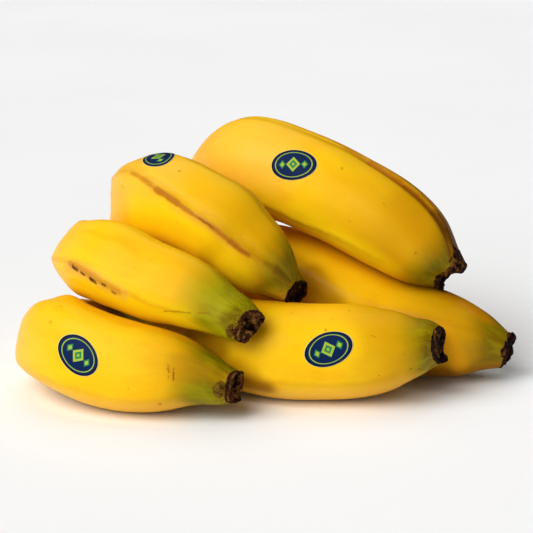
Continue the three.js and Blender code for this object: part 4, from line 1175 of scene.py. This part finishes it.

# Marks on the peel: from [mm, angle] to [mm, angle] (or None for a spot), half-width mm, strength, kind. Along
# banana_4's upper ridge the rust and umber are partly its browning and partly painted shade.
MARKS = {
    "banana_1": [
        ([122.5, 10.5], [123.4, -1.5], .42, .55, "rust"), ([122.6, 4], [123.2, -1], .26, .55, "dark"),
        ([124.8, 6.5], [125.6, -13.5], .45, .65, "rust"), ([125.1, 0], [125.6, -12.5], .26, .6, "dark"),
        ([123.2, -7], [123.6, -12], .25, .35, "dark"), ([75.2, 23.5], None, .75, .4, "dark"), ([120, -56], None, .8, .6, "dark"),
        ([108, -30], None, .45, .4, "dark"), ([96, 12], None, .35, .35, "dark"), ([58, -20], [61, -26], .3, .3, "dark"),
        ([145.8, -12], [148.4, -20], .75, .8, "mud"), ([141.8, -14], [143.2, -10], .8, .5, "mud"), ([146, -30], [148.5, -40], .9, .55, "mud")],
    "banana_2": [
        ([77.6, -25], [79.6, -27], .8, .95, "dark"), ([81.6, -28.5], [82.6, -29.5], .62, .9, "dark"), ([85.6, -31.5], [87.6, -33.5], .85, 1.0, "dark"),
        ([90.6, -31], [91.6, -31.5], .68, .85, "dark"), ([94.6, -36], [95.4, -37], .7, .85, "dark"), ([74, -23], [99, -33], 3.0, .6, "pink"),
        ([76, -22], [97, -32], 1.5, .45, "rust"), ([117, -42.5], [128, -31.5], .42, .5, "dark"),
        ([131, -25.5], [134.5, -16], .35, .45, "dark"), ([68, 6], None, .4, .35, "dark"),
        ([141.5, -8], [148, 3], 2.6, .42, "mud"), ([149.3, -6], [149.8, -22], 1.4, .6, "mud"), ([144.6, 12], [149.5, 22], 1.8, .35, "mud")],
    "banana_3": [
        ([80, 39.5], None, .55, .6, "dark"), ([60.9, 2], [62.5, -3], .4, .35, "dark"), ([102.5, 86], None, .8, .6, "dark"),
        ([66, 15.5], [78, 3], .9, .45, "rust"), ([78, 3], [86, -2.6], 1.25, .85, "rust"), ([86, -2.6], [93.1, -6], 1.0, .75, "rust"),
        ([93.1, -6], [101, -7.3], .62, .85, "rust"), ([96.5, -7.1], [102, -7.4], .34, .65, "dark"), ([85, -8], [110, -9.5], 2.1, .32, "pink"),
        ([101, -7.4], [109.5, -6.6], .9, .75, "rust"), ([108.5, -6.6], [117.2, -1.6], 1.1, .9, "rust"), ([111.5, -5.2], [116.4, -2], .5, .4, "dark"),
        ([129, 9], [139.5, 17.5], 1.9, .8, "olive"), ([124, 6], [133, 10], 1.2, .4, "olive"), ([88, -26], None, .4, .35, "dark")],
    "banana_4": [
        ([104.1, 31.5], None, .55, .5, "dark"), ([147.8, -6.5], None, .6, .6, "dark"), ([70, 10], None, .35, .35, "dark"),
        ([125, 20], [127, 17], .3, .3, "dark"), ([118, -20], None, .4, .3, "dark"),
        ([96, 74], [112, 65], 1.4, .55, "rust"), ([112, 65], [123, 59.5], 1.9, .85, "rust"), ([123, 59.5], [133, 56.5], 2.0, .95, "rust"),
        ([133, 56.5], [142, 56.5], 1.9, .95, "rust"), ([128, 58], [149, 58], 1.1, .55, "mud"), ([142, 57], [150, 58], 1.6, .9, "mud"),
        ([150, 58], [161, 58], 2.2, 1.0, "mud"),
        ([145, 68], [161, 74], 2.6, .92, "mud"), ([134, 68], [148, 70], 2.0, .6, "rust"), ([126, 84], [160, 92], 2.2, .8, "umber")],
    "banana_5": [
        ([149, 7], None, .55, .45, "dark"), ([100, 30], None, .4, .3, "dark"),
        ([137, 66], [138.5, 62], .8, .22, "pink"), ([141, 55], [143, 52], .9, .22, "pink")],
    "banana_6": [
        ([113.4, 26.5], None, .6, .5, "dark"), ([123.2, 59.5], None, .5, .4, "dark"), ([147.4, -41.5], None, .6, .7, "dark"),
        ([150.3, -49.5], None, .6, .7, "dark"), ([98, 6], None, .35, .35, "dark"), ([132, 20], [134, 17], .3, .35, "dark")],
}

# Soft patches of painted light and shade: from [mm, angle] to [mm, angle], half-width mm, strength, kind. pale is a
# painted sheen on the lit shoulders and a painted reflection of the floor on the lower faces, lemon and rich are
# painted light on faces that lie in shade, and amber, umber and soot are painted shade.
LIGHT_AND_SHADE_PATCHES = {
    "banana_1": [([38, 20], [66, -30], 17, .55, "pale"), ([60, -75], [125, -80], 10, .55, "pale"), ([128, 12], [150, 30], 7, .35, "amber")],
    "banana_2": [([36, 20], [62, 0], 14, .5, "pale"), ([70, -62], [125, -62], 9, .75, "lemon"), ([84, -75], [130, -80], 8, .5, "lemon")],
    "banana_3": [([40, 20], [74, 25], 15, .5, "pale"), ([70, -35], [118, -40], 9, .75, "lemon")],
    "banana_4": [([44, 10], [80, 5], 17, .6, "pale"), ([78, -48], [140, -58], 9, .7, "lemon"), ([92, 96], [150, 92], 5.5, .75, "amber"),
                 ([132, 30], [150, 20], 8, .35, "amber"), ([146, 68], [160, 66], 5, .85, "umber")],
    "banana_5": [([112, 80], [134, 74], 6, .3, "amber"), ([132, 74], [147, 60], 6, .8, "amber"), ([118, -60], [158, -68], 9, .8, "umber"), ([118, -52], [136, -62], 6, .6, "soot"),
                 ([75, 17], [85, -2], 6, .55, "umber"), ([134, 4], [141, -40], 5, .5, "rich")],
    "banana_6": [([84, -78], [142, -78], 10, .6, "pale"), ([84, 10], [120, 12], 12, .35, "lemon"), ([80, -48], [92, -52], 5.5, .9, "umber"), ([66, -2], [78, -10], 5, .6, "umber"), ([84, -30], [88, -36], 5, .35, "umber")],
}


def neck_colour(n):
    """Green-brown skin of the crown and the necks, the same on both so that it runs on. Reads object coordinates."""
    p = n.vec("MULTIPLY", n.obj(), (1000, 1000, 1000))
    big = n.noise(n.vec("MULTIPLY", p, (1 / 11, 1 / 11, 1 / 11)), 4, .6)
    fine = n.noise(n.vec("MULTIPLY", p, (1 / 1.4, 1 / 1.4, 1 / 1.4)), 3, .6)
    c = n.mix(n.ramp(big, .36, .70, 0, .8), NECK_GREEN, NECK_BROWN)
    c = n.mix(n.ramp(fine, .54, .76, 0, .5), c, rgb(.120, .060, .014))
    return c, fine


def spread(n, b, p, a, z):
    """Distance in mm over the skin from the stretch between a and z, each [mm, angle], at the map position p."""
    s0, t0 = a[0], rad(a[1])
    q = b.surface([s0 - .5, s0 + .5], [t0])
    sx = float(np.linalg.norm(q[1, 0] - q[0, 0]))
    sy = float(b.radius(np.array([s0]), np.array([[t0]]))[0, 0] / R_MAP)
    v = n.vec("MULTIPLY", n.vec("SUBTRACT", p, (s0, t0 * R_MAP, 0)), (sx, sy, 0))
    if z is not None:
        ba = np.array([(z[0] - s0) * sx, (rad(z[1]) - t0) * R_MAP * sy, 0.0])
        h = n.math("MULTIPLY", n.vec("DOT_PRODUCT", v, tuple(ba)), 1 / float(ba @ ba), clamp=True)
        v = n.vec("SUBTRACT", v, n.vec("SCALE", tuple(ba), scale=h))
    return n.vec("LENGTH", v)


def peel_material(name, b):
    k = PEEL[name]
    n = Nodes("peel_" + name[-1])
    st = n.attr("straight", True)
    tip, neck = n.attr("tip_mm"), n.attr("neck_mm")
    shift = n.vec("ADD", st, (37.0 * int(name[-1]), 0, 0))
    big = n.noise(n.stretched(shift, 42, 17), 2)
    mid = n.noise(n.stretched(shift, 13, 6.5), 3)
    fib = n.noise(n.stretched(shift, 16, 1.15), 3, .55)
    fine = n.noise(n.stretched(shift, 1.5, .8), 3, .6)
    grain = n.noise(n.stretched(shift, .55, .40), 2, .6)

    c = n.mix(n.ramp(big, .36, .64), YELLOW, LEMON)
    c = n.mix(n.ramp(mid, .46, .74, 0, .55), c, GOLD)
    c = n.mix(n.ramp(fib, .50, .74, 0, .20), c, GOLD)
    c = n.mix(n.ramp(fine, .54, .80, 0, .22), c, AMBER)
    c = n.mix(n.ramp(grain, .58, .80, 0, .18), c, AMBER)
    # a duller gold towards the blossom end: partly the end's own colour, partly painted shade where the ends turn from
    # the light
    d0, d1, dull_and_shade = k["dull_and_shade"]
    c = n.mix(n.ramp(n.add(tip, n.mul(n.sub(mid, .5), 22.0)), d0, d1, 0, dull_and_shade), c, rgb(.560, .270, .001))
    # sparse freckles
    fr = n.cells(n.stretched(shift, 5.2, 4.2))
    keep = n.ramp(n.noise(n.stretched(shift, 9, 7), 1), .52, .60)
    fr = n.mul(n.ramp(fr, .10, .04), keep)
    c = n.mix(n.mul(fr, .45), c, DARK_SCUFF_AND_SHADE)

    # green towards the blossom end
    wander = n.add(n.mul(n.sub(fib, .5), 1.2), n.add(n.mul(n.sub(mid, .5), 8.0), n.mul(n.sub(big, .5), 6.0)))
    g = n.ramp(n.add(tip, wander), k["green"][0], k["green"][1], 0, k["most"])
    leaf = n.mix(n.ramp(n.add(n.mul(fib, .22), n.mul(mid, .78)), .38, .62), k["leaf"][0], k["leaf"][1])
    pale = n.cells(n.stretched(shift, 1.25, .9))
    leaf = n.mix(n.ramp(pale, .34, .12, 0, .22), leaf, rgb(.400, .350, .004))
    c = n.mix(g, c, leaf)
    # brown and tan flecks close to the scar
    fleck = n.noise(n.stretched(shift, 2.0, 1.7), 3, .6)
    blot = n.noise(n.stretched(shift, 3.6, 3.0), 2, .5)
    halo = n.mul(n.ramp(n.add(tip, n.mul(n.sub(blot, .5), 8.0)), k["crust"] + 5.5, k["crust"] + .2), n.ramp(fleck, .40, .62))
    c = n.mix(n.mul(halo, k["halo"]), c, n.mix(n.ramp(fine, .42, .60), rgb(.210, .110, .003), rgb(.110, .048, .002)))

    # soft patches of painted light and shade
    plain = n.uv("skin")
    light_and_shade_tones = {"pale": rgb(.900, .500, .060), "lemon": rgb(.950, .640, .0040), "amber": rgb(.560, .215, .0008), "umber": rgb(.330, .120, .0006), "soot": rgb(.130, .040, .0005),
              "rich": rgb(.900, .380, .0008)}
    for a, z, half, strength, kind in LIGHT_AND_SHADE_PATCHES[name]:
        far = spread(n, b, plain, a, z)
        m = n.ramp(n.add(far, n.mul(n.sub(mid, .5), half * .5)), half * 1.35, half * .25, 0, strength)
        c = n.mix(m, c, light_and_shade_tones[kind])

    # painted shade: darker and redder where a neighbour is close, in place of the shadow and reddish bounce light in
    # the crevices between bananas
    keys = k["near"]
    sep = n.new("ShaderNodeSeparateXYZ")
    n.put(sep.inputs[0], st)
    shade_amount = None
    for (x0, y0), (x1, y1) in zip(keys[:-1], keys[1:]):
        r = n.ramp(sep.outputs[0], x0, x1, y0 if shade_amount is None else 0.0, y1 if shade_amount is None else y1 - y0, smooth=False)
        shade_amount = r if shade_amount is None else n.add(shade_amount, r)
    gap = n.add(n.attr("gap"), n.mul(n.sub(mid, .5), 3.0))
    painted_shade, deep = n.mul(n.ramp(gap, 9.5, .4), shade_amount), n.mul(n.ramp(gap, 4.5, .3), shade_amount)

    # ridges: brown scuffs on the crests, and in the valleys a brown that is partly browning and partly painted shade
    rid = n.mul(n.attr("ridge"), n.ramp(n.noise(n.stretched(shift, 6, 1.6), 3, .6), .28, .60, .55, 1.15))
    c = n.mix(n.ramp(rid, .06, .70, 0, .72, smooth=False), c, SCUFF_AND_SHADE)
    c = n.mix(n.ramp(rid, .58, 1.0, 0, .8), c, DARK_SCUFF_AND_SHADE)

    # placed marks
    warp = n.vec("SCALE", n.vec("SUBTRACT", n.noise(n.stretched(shift, 1.6, 1.6), 2, .6, colour=True), (.5, .5, .5)), scale=1.5)
    p = n.vec("ADD", n.uv("skin"), n.vec("MULTIPLY", warp, (1, 1, 0)))
    found = {}
    for a, z, half, strength, kind in MARKS[name]:
        far = spread(n, b, p if kind == "dark" else plain, a, z)
        if kind != "dark":
            far = n.add(far, n.mul(n.sub(fleck, .5), half * 1.1))
        m = n.ramp(far, half * 1.6, half * .35, 0, strength)
        found[kind] = m if kind not in found else n.math("MAXIMUM", found[kind], m)
    if "pink" in found:
        c = n.mix(n.mul(found["pink"], n.ramp(mid, .34, .56, .5, 1)), c, MAUVE)
    if "rust" in found:
        c = n.mix(found["rust"], c, RUST)
    if "umber" in found:
        c = n.mix(found["umber"], c, rgb(.300, .110, .0010))
    if "olive" in found:
        c = n.mix(n.mul(found["olive"], n.ramp(fleck, .30, .55, .7, 1)), c, OLIVE)
    if "mud" in found:
        c = n.mix(n.mul(found["mud"], n.ramp(fleck, .30, .55, .65, 1)), c, MUD)
    dark = found["dark"]
    c = n.mix(n.mul(dark, n.ramp(fine, .30, .52, .6, 1)), c, n.mix(n.ramp(dark, .3, .9), rgb(.240, .080, .0020), rgb(.070, .018, .0015)))

    # the small knob of scar tissue near the end
    bm = n.attr("bump")
    c = n.mix(n.mul(n.ramp(bm, .0, .7), .88), c, n.mix(n.ramp(fleck, .40, .60), rgb(.165, .082, .002), rgb(.060, .022, .002)))
    ringed = n.mul(n.ramp(bm, .02, .4), n.ramp(n.add(bm, n.mul(n.sub(blot, .5), 1.1)), .95, .3))
    c = n.mix(n.mul(ringed, .55), c, rgb(.070, .024, .0015))

    # the neck runs into the crown
    nc, nf = neck_colour(n)
    na = n.ramp(n.add(neck, n.mul(n.sub(mid, .5), 18.0)), 28.0, 5.0, 0, .92)
    c = n.mix(na, c, nc)

    # painted shade of the crevices, deepest where the gap is smallest
    c = n.mix(painted_shade, c, SHADED)
    c = n.mix(deep, c, DEEP_SHADE)

    # dark where the crust starts
    cr = n.ramp(n.add(tip, n.mul(n.sub(fleck, .5), 1.2)), k["crust"] * .75 + .3, k["crust"] * .35)
    c = n.mix(cr, c, rgb(.030, .009, .002))

    rough = n.add(.37, n.mul(n.sub(fine, .5), .16))
    rough = n.add(rough, n.mul(n.sub(fib, .5), .08))
    rough = n.math("MAXIMUM", rough, n.mul(cr, .66))
    rough = n.add(rough, n.mul(na, .14))
    rough = n.add(rough, n.mul(dark, .12))
    rough = n.add(rough, n.ramp(tip, 80, 10, 0, .13, smooth=False))
    rough = n.add(rough, n.mul(painted_shade, .2))

    height = n.add(n.mul(fib, .35), n.mul(mid, .5))
    height = n.add(height, n.mul(fine, .28))
    height = n.add(height, n.mul(grain, .12))
    height = n.sub(height, n.mul(dark, .5))
    bump = n.new("ShaderNodeBump")
    bump.inputs["Strength"].default_value = 0.55
    bump.inputs["Distance"].default_value = 0.00016
    n.put(bump.inputs["Height"], height)

    s = n.new("ShaderNodeBsdfPrincipled")
    n.put(s.inputs["Base Color"], c)
    n.put(s.inputs["Roughness"], rough)
    n.put(s.inputs["Normal"], bump.outputs[0])
    s.inputs["Specular IOR Level"].default_value = 0.085
    n.tree.links.new(s.outputs[0], n.out.inputs[0])
    return n.mat


def scar_material():
    """Dried crust: black and maroon, darkest in its hollows, which is partly painted shade, brown, and pale mauve on
    its folds, which is partly its dried tissue and partly painted highlight.
    """
    n = Nodes("scar")
    p = n.vec("MULTIPLY", n.obj(), (1000, 1000, 1000))
    coarse = n.noise(p, 3, .6, scale=.45)
    flake = n.noise(p, 4, .65, scale=1.25)
    grit = n.noise(p, 2, .6, scale=3.2)
    t = n.add(n.attr("tone"), n.add(n.ramp(coarse, .36, .64, -.55, .55), n.ramp(flake, .36, .64, -.5, .5)))
    c = n.mix(n.ramp(t, .30, 1.25), SCAR_BLACK, SCAR_MAROON)
    c = n.mix(n.ramp(t, 1.15, 2.2), c, n.mix(n.ramp(coarse, .42, .60), SCAR_BROWN, SCAR_OLIVE))
    c = n.mix(n.ramp(t, 2.3, 3.4), c, SCAR_PALE_AND_HIGHLIGHT)
    c = n.mix(n.ramp(grit, .60, .80, 0, .5), c, SCAR_MAROON)
    # flaky, gritty bumps
    bump = n.new("ShaderNodeBump")
    bump.inputs["Strength"].default_value = 0.8
    bump.inputs["Distance"].default_value = 0.0003
    n.put(bump.inputs["Height"], n.add(flake, n.mul(grit, .45)))
    s = n.new("ShaderNodeBsdfPrincipled")
    n.put(s.inputs["Base Color"], c)
    n.put(s.inputs["Roughness"], n.add(.52, n.mul(n.sub(flake, .5), .30)))
    n.put(s.inputs["Normal"], bump.outputs[0])
    s.inputs["Specular IOR Level"].default_value = 0.05
    n.tree.links.new(s.outputs[0], n.out.inputs[0])
    return n.mat


def crown_material():
    n = Nodes("crown_skin")
    c, fine = neck_colour(n)
    p = n.vec("MULTIPLY", n.obj(), (1000, 1000, 1000))
    cut, neck = n.attr("cut_mm"), n.attr("neck_mm")
    mid = n.noise(p, 3, scale=1 / 6)
    # the collars turn to the peel's own yellow where they thin out
    c = n.mix(n.ramp(n.add(neck, n.mul(n.sub(mid, .5), 10.0)), 5.0, 22.0, 0, .55), c, YELLOW)
    fleck = n.noise(p, 4, .65, scale=.8)
    c = n.mix(n.ramp(fleck, .58, .72, 0, .55), c, colour(70, 44, 20))
    # cut face: dry, brown, with darker strands and a black rim
    fib = n.noise(n.vec("MULTIPLY", p, (.9, .22, .22)), 4, .6)
    dots = n.cells(n.vec("MULTIPLY", p, (.42, .42, .42)))
    face = n.ramp(n.add(cut, n.mul(n.sub(fleck, .5), .8)), -.85, -.15)
    cf = n.mix(n.ramp(fib, .35, .65), colour(126, 92, 56), colour(84, 54, 30))
    cf = n.mix(n.ramp(dots, .30, .12, 0, .7), cf, colour(48, 28, 16))
    cf = n.mix(n.ramp(fleck, .55, .70, 0, .6), cf, colour(168, 136, 92))
    rim = n.mul(n.ramp(cut, -2.6, -.8), n.ramp(cut, -.2, -.7))
    c = n.mix(face, c, cf)
    c = n.mix(n.mul(rim, .8), c, colour(46, 28, 14))
    bump = n.new("ShaderNodeBump")
    bump.inputs["Strength"].default_value = 0.7
    bump.inputs["Distance"].default_value = 0.0003
    n.put(bump.inputs["Height"], n.add(n.mul(fleck, 1.0), n.add(n.mul(fine, .6), n.mul(face, n.mul(fib, 1.5)))))
    s = n.new("ShaderNodeBsdfPrincipled")
    n.put(s.inputs["Base Color"], c)
    n.put(s.inputs["Roughness"], n.add(n.ramp(face, 0, 1, .58, .86), n.mul(n.sub(fleck, .5), .15)))
    n.put(s.inputs["Normal"], bump.outputs[0])
    s.inputs["Specular IOR Level"].default_value = 0.2
    n.tree.links.new(s.outputs[0], n.out.inputs[0])
    return n.mat


def label_material():
    """Navy paper with a pale edge, partly its cut paper and partly painted highlight, a thin lime ring and three
    diamonds.
    """
    n = Nodes("label")
    uv = n.uv("label")
    wob = n.vec("SCALE", n.vec("SUBTRACT", n.noise(uv, 2, .5, colour=True, scale=1.3), (.5, .5, .5)), scale=.10)
    p = n.vec("ADD", uv, n.vec("MULTIPLY", wob, (1, 1, 0)))
    sep = n.new("ShaderNodeSeparateXYZ")
    n.put(sep.inputs[0], p)
    x, y = sep.outputs[0], sep.outputs[1]
    # 1 on the oval's edge
    oval = n.vec("LENGTH", n.vec("MULTIPLY", p, (2 / STICKER_LONG, 2 / STICKER_SHORT, 0)))
    ax, ay = n.math("ABSOLUTE", x), n.math("ABSOLUTE", y)
    paper = n.noise(uv, 3, .6, scale=2.2)
    navy, deep = rgb(.0012, .0130, .062), rgb(.0010, .0025, .006)
    c = n.mix(n.ramp(paper, .40, .66, 0, .5), navy, rgb(.003, .019, .080))
    c = n.mix(n.ramp(oval, .89, .93), c, deep)
    lime, green, pale = rgb(.330, .450, .045), rgb(.020, .190, .060), rgb(.66, .58, .24)

    def diamond(cx, half_x, half_y):
        dx = n.math("ABSOLUTE", n.sub(ax, cx)) if cx else ax
        return n.add(n.mul(dx, 1 / half_x), n.mul(ay, 1 / half_y))

    ring = n.mul(n.ramp(oval, .755, .775), n.ramp(oval, .82, .80))
    c = n.mix(n.mul(ring, .95), c, lime)
    for cx, hx, hy, outer, inner in ((0, 3.0, 3.3, lime, green), (4.75, 1.55, 1.9, green, lime)):
        d = diamond(cx, hx, hy)
        c = n.mix(n.ramp(d, 1.04, .96), c, outer)
        c = n.mix(n.ramp(d, .62, .56), c, inner)
        if not cx:
            c = n.mix(n.ramp(d, .26, .20), c, lime)
    # the pale edge: the paper's cut edge with a painted highlight where it catches the light
    c = n.mix(n.ramp(oval, .968, .980), c, pale)
    # scuffed print
    worn = n.ramp(n.noise(uv, 4, .7, scale=.9), .66, .80, 0, .10)
    c = n.mix(worn, c, rgb(.12, .16, .20))
    bump = n.new("ShaderNodeBump")
    bump.inputs["Strength"].default_value = 0.35
    bump.inputs["Distance"].default_value = 0.00005
    n.put(bump.inputs["Height"], n.add(n.mul(paper, .8), n.noise(uv, 2, .5, scale=.35)))
    s = n.new("ShaderNodeBsdfPrincipled")
    n.put(s.inputs["Base Color"], c)
    n.put(s.inputs["Roughness"], n.add(.42, n.mul(paper, .16)))
    n.put(s.inputs["Normal"], bump.outputs[0])
    s.inputs["Specular IOR Level"].default_value = 0.06
    n.tree.links.new(s.outputs[0], n.out.inputs[0])
    return n.mat


def floor_material():
    n = Nodes("floor")
    p = n.obj()
    a = n.noise(p, 3, .5, scale=3.0)
    c = n.mix(n.ramp(a, .3, .7), (.960, .960, .960, 1), (.980, .980, .978, 1))
    s = n.new("ShaderNodeBsdfPrincipled")
    n.put(s.inputs["Base Color"], c)
    n.put(s.inputs["Roughness"], n.ramp(a, .3, .7, .75, .85))
    s.inputs["Specular IOR Level"].default_value = 0.1
    n.tree.links.new(s.outputs[0], n.out.inputs[0])
    return n.mat


# ---------------------------------------------------------------- build
bananas, grids = {}, {}
crust = scar_material()
for k, name in enumerate(BANANAS):
    b, P, info = make_banana(name, k * 11 + 3)
    bananas[name], grids[name] = b, info
    ob = banana_object(name, P, info)
    ob.data.materials.append(peel_material(name, b))
    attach(ob, "root")
    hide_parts(name)
    V, Q, pts = make_scar(name, info, k * 11 + 203)
    if outward(V, Q) < 0:
        Q = Q[:, ::-1]
    ob = mesh_object(name + "_scar", V, Q, points=pts)
    ob.data.materials.append(crust)
    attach(ob, "root")
    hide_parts(name)

V, Q, pts = make_crown(list(bananas.values()))
if outward(V, Q) < 0:
    Q = Q[:, ::-1]
ob = mesh_object("crown_pad", V, Q, points=pts)
ob.data.materials.append(crown_material())
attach(ob, "root")
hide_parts("crown")

paper = label_material()
for name, spec in STICKERS.items():
    V, Q, T, flat = make_sticker(spec, bananas[spec["on"]], grids[spec["on"]])
    if outward(V, Q) < 0:
        Q, T = Q[:, ::-1], T[:, ::-1]
    ob = mesh_object(name + "_label", V, Q, T, uvs={"label": flat[np.concatenate([Q.ravel(), T.ravel()])]})
    ob.data.materials.append(paper)
    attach(ob, "root")
    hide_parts(name)

# ---------------------------------------------------------------- floor, light and camera
me = bpy.data.meshes.new("floor")
me.from_pydata([(-9, -9, 0), (9, -9, 0), (9, 9, 0), (-9, 9, 0)], [], [(0, 1, 2, 3)])
floor = bpy.data.objects.new("floor", me)
floor.data.materials.append(floor_material())
bpy.context.scene.collection.objects.link(floor)

world = bpy.data.worlds.new("studio")
world.use_nodes = True
world.node_tree.nodes["Background"].inputs[0].default_value = (0.97, 0.985, 1.0, 1)
world.node_tree.nodes["Background"].inputs[1].default_value = 0.02
bpy.context.scene.world = world


def sun(name, towards, strength, angle, tint=(1, 1, 1)):
    """towards: the way from the object to the light."""
    data = bpy.data.lights.new(name, "SUN")
    data.energy, data.angle, data.color = strength, math.radians(angle), tint
    ob = bpy.data.objects.new(name, data)
    ob.rotation_mode = "QUATERNION"
    ob.rotation_quaternion = Vector(towards).to_track_quat("Z", "Y")
    bpy.context.scene.collection.objects.link(ob)


sun("key", (-0.354, -0.612, 0.707), 1.03, 40)
sun("key_low", (-0.470, -0.814, 0.342), 0.90, 40)
sun("side", (-0.612, -0.354, 0.707), 1.70, 40)
sun("back", (0.0, 0.42, 0.91), 0.74, 45)
sun("rim", (-0.47, 0.814, 0.342), 0.05, 40)

camera = bpy.data.objects.new("camera", bpy.data.cameras.new("camera"))
camera.data.sensor_width = 36
camera.data.lens = 115.835
camera.data.clip_start, camera.data.clip_end = 0.01, 100
camera.location = (-0.000568, -0.709305, 0.234820)
camera.rotation_euler = (math.radians(75), 0, 0)
bpy.context.scene.collection.objects.link(camera)
bpy.context.scene.camera = camera
bpy.context.scene.view_settings.view_transform = "Standard"
